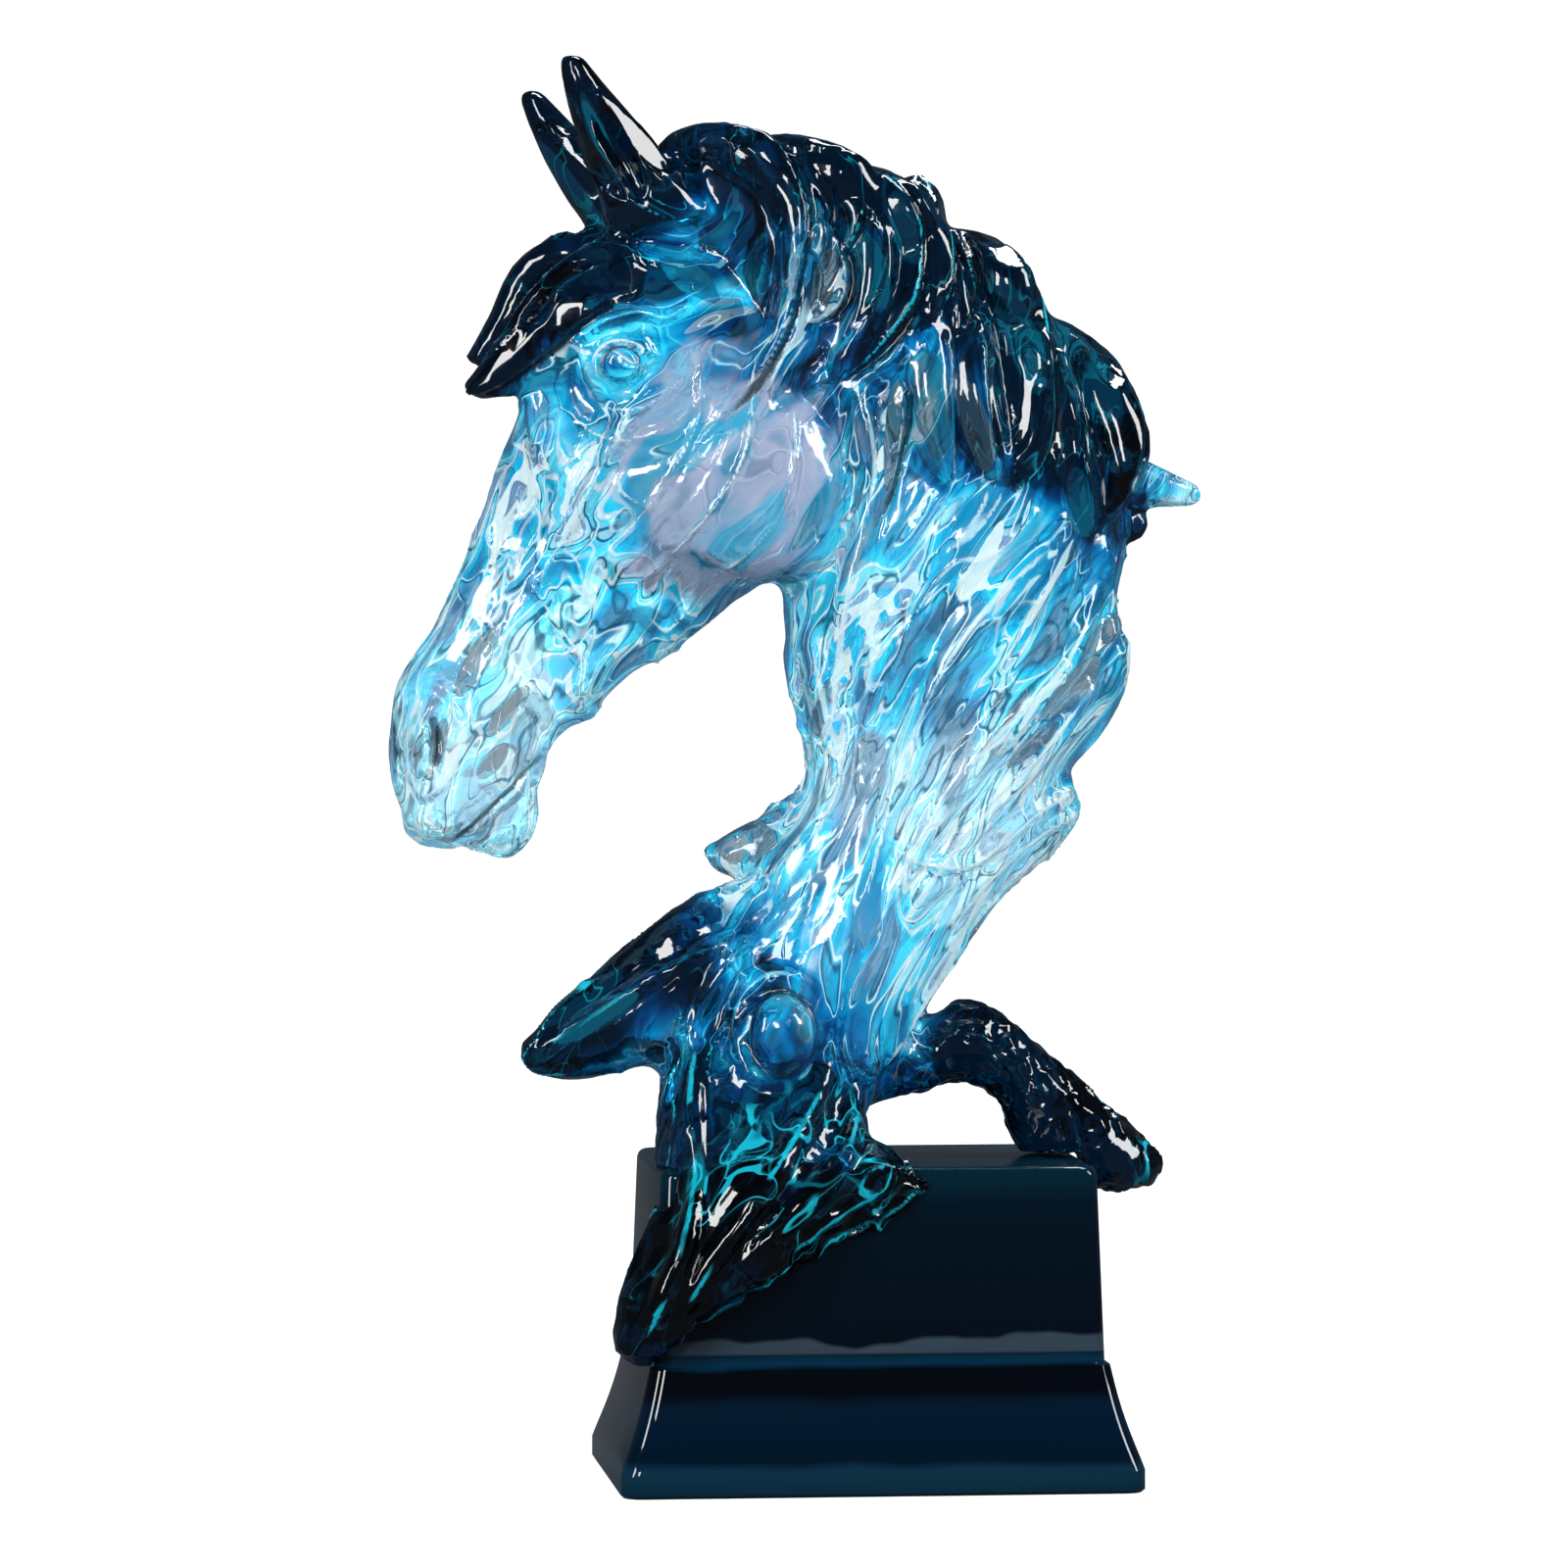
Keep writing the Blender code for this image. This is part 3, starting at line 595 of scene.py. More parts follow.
# The line of the lower head's hem over the block
hemLine = [(70, 30), (0, -38), (-62, -70), (-122, -105), (-195, -150)]

# Oval areas: middle and half sizes in steps, the way they point and how hard their edges are
areas = dict(
    cheekForm=((-118, 680), (92, 100), 0, 3.0),
    cheekColour=((-156, 704), (124.3, 138.8), 21.25, 2.2),
    lace=((-100, -10), (135, 150), 0, 3.0),
)

# Zones of the skin: what is looked at, and where the zone begins and where it is full
zones = dict(
    calmMane=[("tone", 0.42, 0.6), ("z", 640, 700), ("x", -250, -210)],
    calmEars=[("z", 985, 1015), ("x", -205, -235)],
    mane=[("tone", 0.42, 0.55), ("z", 640, 700), ("x", -230, -200)],
    ears=[("z", 965, 1010), ("x", -205, -235)],
    forelock=[("z", 820, 850), ("x", -300, -330)],
    spike=[("x", 252, 272), ("z", 630, 650), ("z", 800, 760)],
    crumpledNeck=[("tone", 0.5, 0.36), ("z", 330, 430), ("z", 690, 640), ("x", -110, -60)],
    arch=[("x", 10, 50), ("z", 190, 165)],
)

# Flat windows in the flow: place, half length, half width in steps and the way they point
windows = dict(
    smoke=[(-132, 337, 30, 19, 22), (-407, 525, 42, 11, 58), (-380, 470, 30, 9, 50), (193, 495, 46, 14, 45),
           (228, 548, 30, 12, 35), (150, 438, 34, 8, 40), (88, 764, 50, 14, -72), (6, 745, 60, 7, 85),
           (-448, 440, 24, 8, 75), (-395, 420, 22, 9, 50), (-60, 470, 26, 7, 80), (-62, 905, 34, 12, 75)],
    teal=[(-17, 918, 44, 19, -75), (46, 777, 54, 20, -85), (208, 812, 56, 26, -62), (200, 682, 34, 15, -80),
          (-63, 955, 40, 14, -70), (140, 850, 60, 16, -70), (20, 960, 40, 14, -75), (-190, 905, 40, 14, -40),
          (-286, 165, 50, 13, 30), (-150, 60, 50, 10, 70), (-60, -10, 30, 12, 40),
          (-284, 1048, 52, 8, -66), (-316, 1010, 62, 10, -52)],
)


def curved(points, pieces=7):
    # a rounder line through the same points
    points = np.array(points, float)
    ends = np.vstack([2 * points[0] - points[1], points, 2 * points[-1] - points[-2]])
    line = []
    for a, b, c, d in zip(ends, ends[1:], ends[2:], ends[3:]):
        for t in np.arange(pieces) / pieces:
            line.append(0.5 * (2 * b + (c - a) * t + (2 * a - 5 * b + 4 * c - d) * t**2
                               + (3 * b - a - 3 * c + d) * t**3))
    return np.array(line + [points[-1]])


def nearLine(skin, line, margin):
    # which points lie near a line, how far off they are on its left or right, and how far along, 0 to 1
    line = curved(line)
    low, high = line.min(0) - margin, line.max(0) + margin
    picked = np.flatnonzero((skin.x > low[0]) & (skin.x < high[0]) & (skin.z > low[1]) & (skin.z < high[1]))
    x, z = skin.x[picked], skin.z[picked]
    lengths = np.hypot(*(line[1:] - line[:-1]).T)
    total, done = lengths.sum(), 0.0
    side, share = np.zeros((2, len(picked)))
    best = side + 1e9
    for start, end, length in zip(line, line[1:], lengths):
        t, offX, offZ = toPiece(x, z, start, end)
        away = np.hypot(offX, offZ)
        closer = away < best
        best = np.where(closer, away, best)
        left = np.sign((end[0] - start[0]) * offZ - (end[1] - start[1]) * offX)
        side = np.where(closer, left * away, side)
        share = np.where(closer, (done + t * length) / total, share)
        done += length
    return picked, side, share


def fromOval(x, z, at, half, turn):
    # how far points lie from the middle of a turned oval, 1 at its edge
    c, n = math.cos(math.radians(turn)), math.sin(math.radians(turn))
    dx, dz = x - at[0], z - at[1]
    return np.hypot((dx * c + dz * n) / half[0], (dz * c - dx * n) / half[1])


def inArea(name, x, z):
    at, half, turn, edge = areas[name]
    return np.exp(-fromOval(x, z, at, half, turn) ** edge)


def inWindows(name, x, z):
    # how far inside one of the flat windows a point lies, 0.5 at its edge
    value = np.zeros_like(x)
    for atX, atZ, length, width, turn in windows[name]:
        value = np.maximum(value, 1 / (1 + fromOval(x, z, (atX, atZ), (length, width), turn) ** 3))
    return value


def cutFacets(points, normals):
    # flattens the places of the list above, on both sides of the head
    x, _, z = inSteps(points)
    eye = np.array(cameraPlace())
    for at, length, width, turn, most, lamp in facets:
        away = fromOval(x, z, at, (length, width), turn)
        for side in (1, -1):
            picked = np.flatnonzero((away < 1.3) & (normals[:, 1] * side < 0))
            if not (away[picked] < 1).any():
                continue
            middle = points[picked].mean(0)
            toEye = (eye - middle) / np.linalg.norm(eye - middle)
            toLamp = np.array(studio["lights"][lamp]["at"]) - middle
            normal = (toEye + toLamp / np.linalg.norm(toLamp)) * (1, side, 1)
            normal /= np.linalg.norm(normal)
            reach = points[picked] @ normal
            off = np.clip(reach - np.median(reach[away[picked] < 1]), -most, most)
            points[picked] -= (off * smoothStep(1.25, 1.0, away[picked]))[:, None] * normal
    return points


def clearOfPlinth(points, gap):
    # moves points that come too near the plinth straight out of it
    p = plinth
    rise = plinthTop - points[:, 2]
    share = np.clip((points[:, 2] - p["lip"]) / (p["skirtHeight"] - p["lip"]), 0, 1)
    skirt = p["lean"] + p["ledge"] + p["spread"] * (1 - share)
    out = np.where(rise < p["blockHeight"], p["lean"] * rise / p["blockHeight"], skirt)
    sides = np.stack([np.abs(points[:, 0]) - (plinthHigh.x - footOut) - out,
                      np.abs(points[:, 1]) - (plinthHigh.y - footOut) - out, -rise], 1)
    nearest = sides.argmax(1)
    push = gap - sides.max(1)
    for axis in range(3):
        picked = np.flatnonzero((push > 0) & (nearest == axis))
        way = np.sign(points[picked, axis]) if axis < 2 else 1.0
        points[picked, axis] += way * push[picked]
    return points


class Skin:
    # the figure's points in steps, and what is raised and drawn on them
    def __init__(self, points, normals):
        self.x, self.y, self.z = inSteps(points)
        self.tone = toneAt(self.x, self.z)
        self.side = np.abs(normals[:, 1])
        self.sideways = smoothStep(0.2, 0.6, self.side)
        # metres raised, painted highlights along raised edges and crests, painted shade in creases, and how
        # much darker than its place
        self.height, self.rim, self.gaps, self.shift = np.zeros((4, len(points)))

    def inZone(self, name):
        share = 1.0
        for what, edge, full in zones[name]:
            share = share * smoothStep(edge, full, getattr(self, what))
        return share


def evenSkin():
    # the figure's solid as one even mesh, calmer where fine locks are laid later
    cast = bpy.data.objects.new("horse_cast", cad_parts["horse_figure"].data.copy())
    bpy.context.scene.collection.objects.link(cast)
    onlySelect(cast)
    bpy.ops.object.mode_set(mode="EDIT")
    bpy.ops.mesh.select_all(action="SELECT")
    bpy.ops.mesh.remove_doubles(threshold=horse["weld"])
    bpy.ops.object.mode_set(mode="OBJECT")
    remesh = cast.modifiers.new("skin", "REMESH")
    remesh.mode = "VOXEL"
    remesh.voxel_size = horse["voxel"] * 1
    applyAll(cast)
    mesh = cast.data
    pairs = np.empty(len(mesh.edges) * 2, np.int32)
    mesh.edges.foreach_get("vertices", pairs)
    pairs = pairs.reshape(-1, 2)
    points = soften(getPoints(mesh), pairs, horse["evenRounds"])
    setPoints(mesh, points)
    skin = Skin(points, getNormals(mesh))
    calm = skin.inZone("calmMane") * (0.3 + 0.7 * smoothStep(0.25, 0.6, skin.side))
    calm = np.maximum(calm, skin.inZone("calmEars"))
    points += (soften(points, pairs, horse["maneRounds"], horse["maneWiden"]) - points) * calm[:, None]
    setPoints(mesh, points)
    say(f"skin of {len(mesh.vertices)} points evened")
    return cast, points


def backs(value, sharp):
    # 1 along the thin lines where a noise crosses 0
    return 1 - np.minimum(np.abs(value) * sharp, 1)


def raiseStrands(skin, u, v):
    # long strands with thin sharp backs, quieter in some places, and none in the flat windows
    x, y, z = skin.x, skin.y, skin.z
    width = horse["strandWidth"]
    w = v + width * grain(u / 80, v / 60, y / 60)
    thick = backs(grain(u / (width * 3.4), w / width, y / width), 1.7)
    thin = backs(grain(u / (width * 1.8), w * 1.6 / width, y * 1.6 / width, 4), 1.7)
    swell = grain(u / (width * 3.2), w / (width * 1.2), y / (width * 1.2), 21)
    calm = skin.inZone("mane") + skin.inZone("ears") + skin.inZone("forelock")
    calm = np.clip(calm + 0.96 * inArea("cheekForm", x, z), 0, 1)
    flat = smoothStep(0.35, 0.65, np.maximum(inWindows("smoke", x, z), inWindows("teal", x, z)))
    busy = (1 - calm) * (1 - 0.85 * np.maximum(flat, skin.inZone("spike")))
    lively = 0.35 + 0.65 * smoothStep(-0.35, 0.25, grain(u / 150, v / 45, y / 60, 31))
    strands = lively * (thick**4 * 1.2 + thin**4 * 0.3)
    skin.height = horse["strandRise"] * busy * (strands + swell * 2.0 - 0.3)
    # painted highlights along the strands' thin backs
    tops = np.maximum(smoothStep(0.86, 0.97, thick), 0.5 * smoothStep(0.86, 0.97, thin))
    skin.rim = busy * lively * tops
    crumple = grain(u / 26, v / 13, y / 13, 9) + 0.5 * grain(u / 12, v / 7, y / 7, 12)
    crumpled = skin.inZone("crumpledNeck") * lively * (1 - flat)
    skin.height += horse["crumpleRise"] * crumpled * backs(crumple, 2.2) ** 2


def raiseHem(skin):
    # the bumps of the arch, and the lower head's wavy hem over the block
    x, y, z = skin.x, skin.y, skin.z
    pits = grain(x / 13, z / 13, y / 13, 15) + 0.5 * grain(x / 7, z / 7, y / 7, 16)
    skin.height += horse["pitRise"] * skin.inZone("arch") * pits
    picked, side, _ = nearLine(skin, hemLine, 60)
    waves = grain(x[picked] / 15, z[picked] / 15, y[picked] / 20, 41) + 0.35 * pits[picked]
    skin.height[picked] += horse["hemRise"] * bell(side / 26) * waves


def layLocks(skin):
    # each over the one before, some of them darker
    for line, halfWidth, layer, dark in locks:
        picked, side, share = nearLine(skin, line, halfWidth * 1.4)
        wide = halfWidth * np.sqrt(np.clip(share / 0.1, 0.15, 1)) * np.clip(1 - share**4, 0.02, 1) ** 0.7
        s = side / wide
        fade = smoothStep(0.0, 0.16, share)
        inside = smoothStep(1.0, 0.9, np.abs(s)) * smoothStep(1.0, 0.985, share) * skin.sideways[picked]
        body = 0.5 + 0.34 * s - 0.1 * s * s + 0.14 * bell((s - 0.84) / 0.14)
        body = horse["lockRise"] * (body + 0.45 * layer) * fade
        # a real crease beside the lock, which is also the mask of painted shade along it
        gap = bell((s - 1.12) * wide / 4.5) + 0.2 * bell((s + 1.05) * wide / 3.0)
        gap = gap * skin.sideways[picked] * fade * smoothStep(1.0, 0.8, share)
        # painted highlights along the lock's raised edge, weaker along its other edge
        edge = (bell((s - 0.86) / 0.07) + 0.3 * bell((s + 0.88) / 0.05)) * inside * fade
        edge = edge * (line[0][0] > horse["forelockFrom"])
        outside = 1 - inside
        skin.height[picked] = skin.height[picked] * outside + body * inside - horse["lockCrease"] * gap
        skin.rim[picked] = skin.rim[picked] * outside + edge
        skin.gaps[picked] = np.maximum(skin.gaps[picked] * outside, gap)
        skin.shift[picked] = skin.shift[picked] * outside + dark * inside


def carveLines(skin):
    for line, halfWidth, rise in carvings:
        picked, side, share = nearLine(skin, line, halfWidth * 3)
        ends = smoothStep(0, 0.12, share) * smoothStep(1, 0.88, share) * skin.sideways[picked]
        skin.height[picked] += rise * bell(side / halfWidth) * ends
        if rise > 0:
            # raised lines get a painted highlight along their top
            bright = bell(side / (1.5 + halfWidth * 0.12)) * ends
            skin.rim[picked] = np.maximum(skin.rim[picked], bright)
            beside = bell((np.abs(side) - halfWidth * 1.7) / (halfWidth * 0.6))
            skin.height[picked] -= 0.35 * rise * beside * ends
        elif rise < -0.001:
            # deep grooves get painted shade along them
            shadeBlack = bell(side / (halfWidth * 0.7)) * ends
            skin.gaps[picked] = np.maximum(skin.gaps[picked], shadeBlack)


def setEyes(skin):
    # a ball in a socket, under a lid that is thickest on top
    for eye in eyes:
        dx = (skin.x - eye["at"][0]) / eye["size"]
        dz = (skin.z - eye["at"][1]) / (eye["size"] * eye["tall"])
        away = np.hypot(dx, dz)
        over = 0.5 + 0.5 * np.cos(np.arctan2(dz, dx) - math.radians(eye["lid"]))
        ball = np.sqrt(np.clip(1 - away**2, 0, 1))
        socket = -0.4 * bell((away - 1.1) / 0.12) * (0.35 + 0.65 * over)
        lid = 0.45 * over**2 * bell((away - 1.36 - 0.1 * over) / 0.15)
        # painted highlight along the lid
        lidHighlight = bell((away - 1.4 - 0.1 * over) / 0.08) * over * 0.7
        # painted shade in the socket round the ball, heaviest under the lid
        shadeBlack = bell((away - 1.1) / 0.11) * (0.65 + 0.45 * over)
        lighter = (0.04 - 0.3 * np.clip(dx + dz, -1, 1)) * smoothStep(1.15, 1.0, away)
        near = smoothStep(1.95, 1.5, away) * skin.sideways
        skin.height = skin.height * (1 - near) + near * (ball + socket + lid) * eye["rise"]
        skin.rim = skin.rim * (1 - near) + near * lidHighlight
        skin.gaps = np.maximum(skin.gaps * (1 - near), near * shadeBlack)
        skin.shift = skin.shift + near * lighter


def keepForPaint(mesh, points, along, across):
    # what the material reads at each point
    skin = Skin(points, getNormals(mesh))
    x, z = skin.x, skin.z
    flow = np.stack([lookUp(along, x, z), lookUp(across, x, z), skin.y], 1) * step
    keep(mesh, "flow", flow)
    quiet = np.zeros(len(points))
    for eye in eyes:
        away = np.hypot(x - eye["at"][0], z - eye["at"][1]) / eye["size"]
        quiet = np.maximum(quiet, smoothStep(3.4, 1.0, away))
    keep(mesh, "quiet", quiet)
    keep(mesh, "tone", skin.tone)
    keep(mesh, "cheek", inArea("cheekColour", x, z))
    keep(mesh, "lace", inArea("lace", x, z) + 0.35 * skin.inZone("arch"))
    for name in windows:
        keep(mesh, name, inWindows(name, x, z))


def makeHorse():
    cast, points = evenSkin()
    normals = getNormals(cast.data)
    skin = Skin(points, normals)
    along, across = solveFlow()
    raiseStrands(skin, lookUp(along, skin.x, skin.z), lookUp(across, skin.x, skin.z))
    raiseHem(skin)
    layLocks(skin)
    carveLines(skin)
    setEyes(skin)
    setPoints(cast.data, clearOfPlinth(points + normals * skin.height[:, None], horse["clearance"]))
    for name in ("rim", "gaps", "shift"):
        keep(cast.data, name, getattr(skin, name))
    say("strands, locks, lines and eyes raised")

    thin = cast.modifiers.new("thin", "DECIMATE")
    triangles = sum(len(face.vertices) - 2 for face in cast.data.polygons)
    thin.ratio = min(1.0, horse["facesKept"] / triangles)
    bpy.ops.object.shade_smooth()
    applyAll(cast)
    points = cutFacets(getPoints(cast.data), getNormals(cast.data))
    setPoints(cast.data, points)
    # large faces lead the shading, so that the flat places mirror as flat ones
    lead = cast.modifiers.new("lead", "WEIGHTED_NORMAL")
    lead.mode = "FACE_AREA"
    applyAll(cast)
    keepForPaint(cast.data, points, along, across)
    say(f"horse of {len(cast.data.polygons)} faces")
    return cast


resin = dict(
    # linear colours from clear to nearly black, each at its tone
    colours=[
        (0.0, (0.88, 0.99, 1.0)),
        (0.1, (0.45, 0.9, 1.0)),
        (0.25, (0.03, 0.66, 0.9)),
        (0.42, (0.002, 0.34, 0.62)),
        (0.58, (0.001, 0.13, 0.36)),
        (0.76, (0.0005, 0.035, 0.14)),
        (0.92, (0.0002, 0.005, 0.016)),
    ],
    # patches of the clear parts, with crisp edges, at shares of a noise
    patches=[
        (0.0, (0.0005, 0.04, 0.13)), (0.37, (0.001, 0.09, 0.26)),
        (0.378, (0.001, 0.22, 0.5)), (0.42, (0.002, 0.32, 0.64)),
        (0.428, (0.004, 0.5, 0.8)), (0.488, (0.01, 0.66, 0.92)),
        (0.494, (1.0, 1.0, 1.0)), (0.512, (1.0, 1.0, 1.0)),
        (0.518, (0.1, 0.78, 0.96)), (0.565, (0.2, 0.86, 1.0)),
        (0.57, (0.0005, 0.04, 0.12)), (0.584, (0.0005, 0.04, 0.12)),
        (0.59, (0.55, 0.95, 1.0)), (0.63, (0.9, 1.0, 1.0)),
        (0.638, (0.3, 0.37, 0.56)), (0.68, (0.3, 0.37, 0.56)),
        (0.688, (0.01, 0.5, 0.82)), (1.0, (0.01, 0.5, 0.82)),
    ],
    cheek=[
        (0.0, (0.01, 0.16, 0.3)), (0.36, (0.02, 0.2, 0.36)),
        (0.38, (0.22, 0.34, 0.52)), (0.45, (0.42, 0.46, 0.64)),
        (0.6, (0.48, 0.51, 0.68)), (0.64, (0.28, 0.38, 0.56)),
        (0.655, (0.05, 0.42, 0.66)), (1.0, (0.03, 0.4, 0.66)),
    ],
    paleCyan=(0.76, 1.0, 1.0),
    glint=(0.8, 0.98, 1.0),
    darkGlint=(0.01, 0.62, 0.82),
    blueLine=(0.02, 0.6, 0.84),
    ink=(0.001, 0.04, 0.1),
    # colour of the painted shade in creases, sockets and grooves
    shadeBlack=(0.0002, 0.002, 0.005),
    smoke=(0.17, 0.19, 0.22),
    shade=(0.16, 0.22, 0.3),
    teal=(0.002, 0.085, 0.15),
    # noises: 1 over how long they are drawn along the flow, size in metres, detail and roughness
    noises=dict(wide=(0.7, 0.0105, 1.0, 0.5), streak=(0.5, 0.0062, 1.0, 0.5), patch=(1.0, 0.01, 1.0, 0.4),
                band=(0.35, 0.0085, 0.0, 0.5), ripple=(0.2, 0.0055, 1.0, 0.5)),
    bendSize=0.008,        # metres, the noise that pushes the flow about
    bendBy=0.012,          # metres, and how far
    rippleHeight=0.0009,   # metres
    # strength of the painted glow
    glow=0.22,
    refraction=1.5,
)


def horsePaint():
    paint = Paint("blue_resin")
    read, smooth, lineAt = paint.attribute, paint.smooth, paint.lineAt
    tone = read("tone") + read("shift")
    rim, lace, quiet = (read(name) for name in ("rim", "lace", "quiet"))
    flow = read("flow", "Vector")

    def noise(name, where):
        share, size, detail, rough = resin["noises"][name]
        return paint.noiseAt(paint.stretch(where, (share, 1.0, 1.0)), size, detail, rough)

    # the noises all lie along the same bent flow
    bent = paint.warped(paint.stretch(flow, (0.4, 1.0, 1.0)), resin["bendSize"], resin["bendBy"])
    wide, streak, patch, band = (noise(name, bent) for name in ("wide", "streak", "patch", "band"))
    ripple = noise("ripple", flow)

    # parts of the figure, each 1 inside and 0 outside
    cheek = paint.clamp(read("cheek") + (wide - 0.5) * 1.4)
    cheekPart = smooth(cheek, 0.4, 0.6)
    clearPart = 1 - smooth(tone, 0.25, 0.6)
    darkPart = smooth(tone, 0.45, 0.8)
    lightPart = 1 - darkPart
    middle = smooth(tone, 0.3, 0.45) * (1 - smooth(tone, 0.75, 0.95))
    smokeAt = read("smoke") + (wide - 0.5) * 0.6
    smoke = smooth(smokeAt, 0.48, 0.52)
    teal = smooth(read("teal") + (wide - 0.5) * 0.5, 0.47, 0.53)
    busy = (1 - smoke) * (1 - smooth(quiet, 0.9, 0.99))
    poured = smooth(band, 0.52, 0.6) * (1 - smooth(tone, 0.3, 0.42)) * (1 - cheekPart) * busy * 0.5

    # thin lines where a noise crosses a value
    line = lineAt(streak, 0.5, 0.003, 0.016) * busy * smooth(patch, 0.36, 0.44)
    beside = lineAt(streak, 0.463, 0.003, 0.026)
    ring = lineAt(patch, 0.53, 0.008, 0.026)
    outline = lineAt(smokeAt, 0.47, 0.012, 0.03)
    # white spots: painted glints
    glintSpots = smooth(patch - abs(streak - 0.47) * 1.2, 0.6, 0.61)
    lightGlintSpots = glintSpots * lightPart * (1 - 0.8 * cheekPart) * smooth(quiet + smoke, 0.12, 0.02)
    # white: the marbling's thin lines and rings, and the painted glint spots
    bright = paint.clamp(line * lightPart * (1 - 0.8 * cheekPart) + ring * poured + lightGlintSpots)
    # and painted highlights along raised edges and crests
    bright = paint.clamp(bright + smooth(rim + (patch - 0.5) * 1.5, 0.5, 0.9) * lightPart * 0.8)
    # and in the dark parts: cyan lace lines and painted glints, and painted highlights along raised edges
    stroke = paint.clamp(lineAt(streak, 0.47, 0.004, 0.018) + ring * 0.45 + glintSpots)
    stroke = stroke * smooth(wide * lace, 0.3, 0.42) + line * 0.45 * smooth(wide, 0.48, 0.6)
    rimLine = smooth(rim, 0.35, 0.75) * smooth(wide + streak, 0.88, 1.08) * darkPart
    rimLine = paint.clamp(rimLine + stroke * darkPart)

    # colours, each laid over the ones before
    moved = paint.clamp(tone + (streak - 0.5) * (middle * 1.1 + 0.4) + (wide - 0.5) * 0.9)
    marbled = paint.ramp(wide + (patch - 0.5) * 0.4 + (0.21 - tone) * 0.6, resin["patches"])
    colour = paint.ramp(moved, resin["colours"])
    for share, layer in [
        (clearPart * 0.9, marbled),
        (smooth(tone, 0.2, 0.04) * 0.38, resin["paleCyan"]),
        (line * middle * 0.8, resin["blueLine"]),
        (smooth(patch, 0.34, 0.32) * clearPart * 0.7, resin["shade"]),
        (teal * 0.8, resin["teal"]),
        (cheekPart * 0.9, paint.ramp(band, resin["cheek"])),
        (beside * lightPart * busy * (1 - cheekPart * 0.7) * 0.92, resin["ink"]),
        (smoke * 0.9, resin["smoke"]),
        (outline * 0.85, resin["ink"]),
        # white lines of the marbling, with painted glints and painted highlights
        (bright, resin["glint"]),
        # painted highlights along the edges of the dark parts, with their lace lines
        (rimLine * 0.8, resin["darkGlint"]),
        # painted shade in creases, sockets and grooves
        (smooth(read("gaps"), 0.3, 0.8) * 0.9, resin["shadeBlack"]),
    ]:
        colour = paint.mix(share, colour, layer)

    ridge = lineAt(ripple, 0.5, 0.003, 0.02)
    relief = (ridge * 0.4 + ripple * 0.9) * lightPart * (1 - read("cheek")) + ripple * lace * 2.0
    normal = paint.bump(relief, 0.5, resin["rippleHeight"])
    # painted glow: the clear parts and the bright edge lines glow in their own colour by emission, though no
    # lamp is there
    lit = paint.clamp(lightPart * (1 - 0.6 * smoke) * (1 - 0.5 * cheekPart) + rimLine)
    glow = paint.mix(lit, (0.0, 0.0, 0.0), colour)
    clear = paint.shader
    cloudy = paint.add("ShaderNodeBsdfPrincipled")
    for shader in (clear, cloudy):
        paint.fill(shader, {"Base Color": colour, "Normal": normal, "IOR": resin["refraction"],
                            "Emission Color": glow, "Emission Strength": resin["glow"]})
    # partly frosted inside, polished outside
    frost = lightPart * (1 - 0.7 * smoke) * smooth(patch, 0.6, 0.52) * smooth(tone, -0.05, 0.22)
    paint.fill(clear, {"Roughness": 0.03 + 0.2 * frost, "Coat Weight": frost, "Coat Roughness": 0.02,
                       "Transmission Weight": 1.0})
    paint.fill(cloudy, {"Roughness": 0.15})
    milk = smooth(patch, 0.42, 0.56) * lightPart * (1 - smoke)
    cloud = paint.clamp(0.1 + 0.2 * milk + 0.2 * cheekPart + 0.4 * bright + 0.7 * rimLine)
    both = paint.add("ShaderNodeMixShader", {}, {0: cloud, 1: clear.outputs[0], 2: cloudy.outputs[0]})
    paint.fill(paint.tree.nodes["Material Output"], {"Surface": both.outputs[0]})
    return paint.material


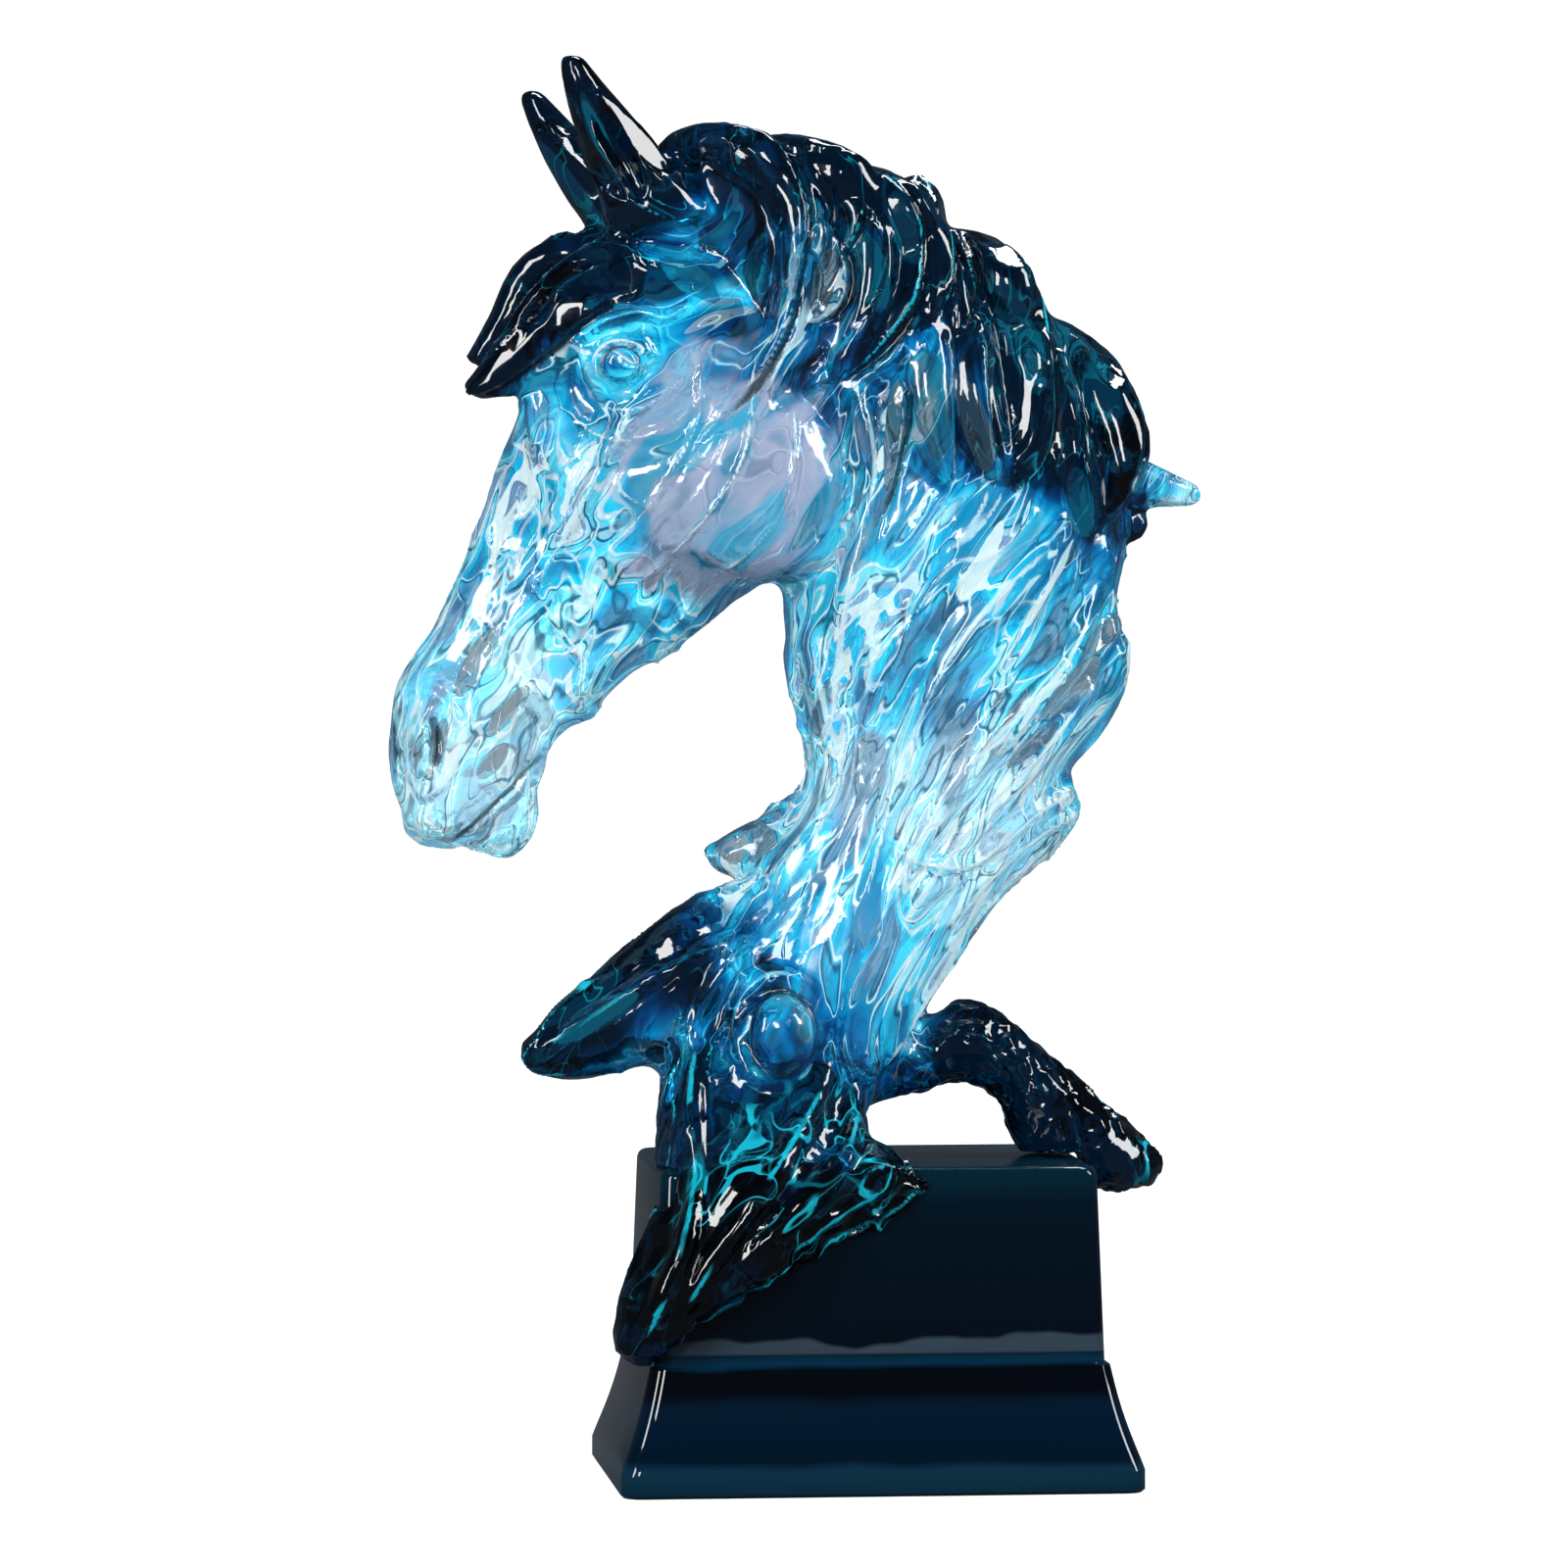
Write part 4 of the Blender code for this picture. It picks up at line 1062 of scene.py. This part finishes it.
def makeStudio():
    # a round pale floor that curves up into a wall, brighter behind the object than in front of it
    radius, curve, turns = studio["floorRadius"], studio["floorCurve"], 8
    bpy.ops.mesh.primitive_circle_add(vertices=96, radius=radius, fill_type="NGON", location=(0, 0, 0))
    floor = bpy.context.object
    floor.name = "studio_floor"
    bpy.ops.object.mode_set(mode="EDIT")
    bpy.ops.mesh.inset(thickness=0.4)
    bpy.ops.mesh.select_all(action="DESELECT")
    bpy.ops.mesh.select_mode(type="EDGE")
    bpy.ops.mesh.select_non_manifold()
    angles = [0.5 * math.pi * turn / turns for turn in range(turns + 1)]
    rings = [(radius + curve * math.sin(angle), curve * (1 - math.cos(angle))) for angle in angles]
    rings.append((radius + curve, studio["wallHeight"]))
    drawRings([(out, out, z) for out, z in rings], bpy.ops.mesh.extrude_edges_move)
    bpy.ops.mesh.select_all(action="SELECT")
    bpy.ops.mesh.normals_make_consistent(inside=True)
    bpy.ops.object.mode_set(mode="OBJECT")
    bpy.ops.object.shade_smooth()
    paint = Paint("pale_floor")
    where = paint.add("ShaderNodeTexCoord").outputs["Object"]
    # the camera sees it pale all round, and the resin is lit by the part behind it
    way = paint.add("ShaderNodeVectorMath", {"operation": "NORMALIZE"}, {0: where}).outputs[0]
    behind = paint.smooth(paint.part(way, 1), 0.62, 0.9)
    rays = paint.add("ShaderNodeLightPath")
    straight = Val(paint, rays.outputs["Is Camera Ray"])
    through = Val(paint, rays.outputs["Is Transmission Ray"])
    lit = paint.clamp(behind * through + straight)
    glow = studio["floorLight"]
    light = paint.mix(straight, paint.mix(behind * through, glow["elsewhere"], glow["behind"]), glow["seen"])
    floorColour = paint.mix(lit, (0.03, 0.03, 0.03), (0.3, 0.3, 0.3))
    paint.fill(paint.shader, {"Base Color": floorColour, "Roughness": 0.9, "Specular IOR Level": 0.0,
                              "Emission Color": light, "Emission Strength": 1.0})
    paint.material.cycles.emission_sampling = "NONE"
    floor.data.materials.append(paint.material)

    world = bpy.data.worlds.new("studio")
    world.use_nodes = True
    world.node_tree.nodes["Background"].inputs["Color"].default_value = studio["room"]
    bpy.context.scene.world = world

    for name, spec in studio["lights"].items():
        bpy.ops.object.light_add(type="AREA", location=spec["at"])
        lamp = bpy.context.object
        lamp.name = name + "_softbox"
        lamp.data.shape = "RECTANGLE"
        lamp.data.size, lamp.data.size_y = spec["size"]
        lamp.data.energy = spec["power"]
        aimAt(lamp, studio["aim"])

    view = studio["camera"]
    bpy.ops.object.camera_add(location=cameraPlace())
    camera = bpy.context.object
    aimAt(camera, view["target"])
    camera.data.lens = camera.data.sensor_width * view["distance"] / view["frameWidth"]
    bpy.context.scene.camera = camera
    bpy.context.scene.view_settings.view_transform = "Standard"


makeStudio()
say("studio set")

cast = makeHorse()
cast.data.materials.clear()
cast.data.materials.append(horsePaint())
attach(cast, "root")
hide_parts("horse_figure")

block = makePlinth()
block.data.materials.append(plinthPaint())
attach(block, "root")
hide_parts("plinth")
say("plinth made")
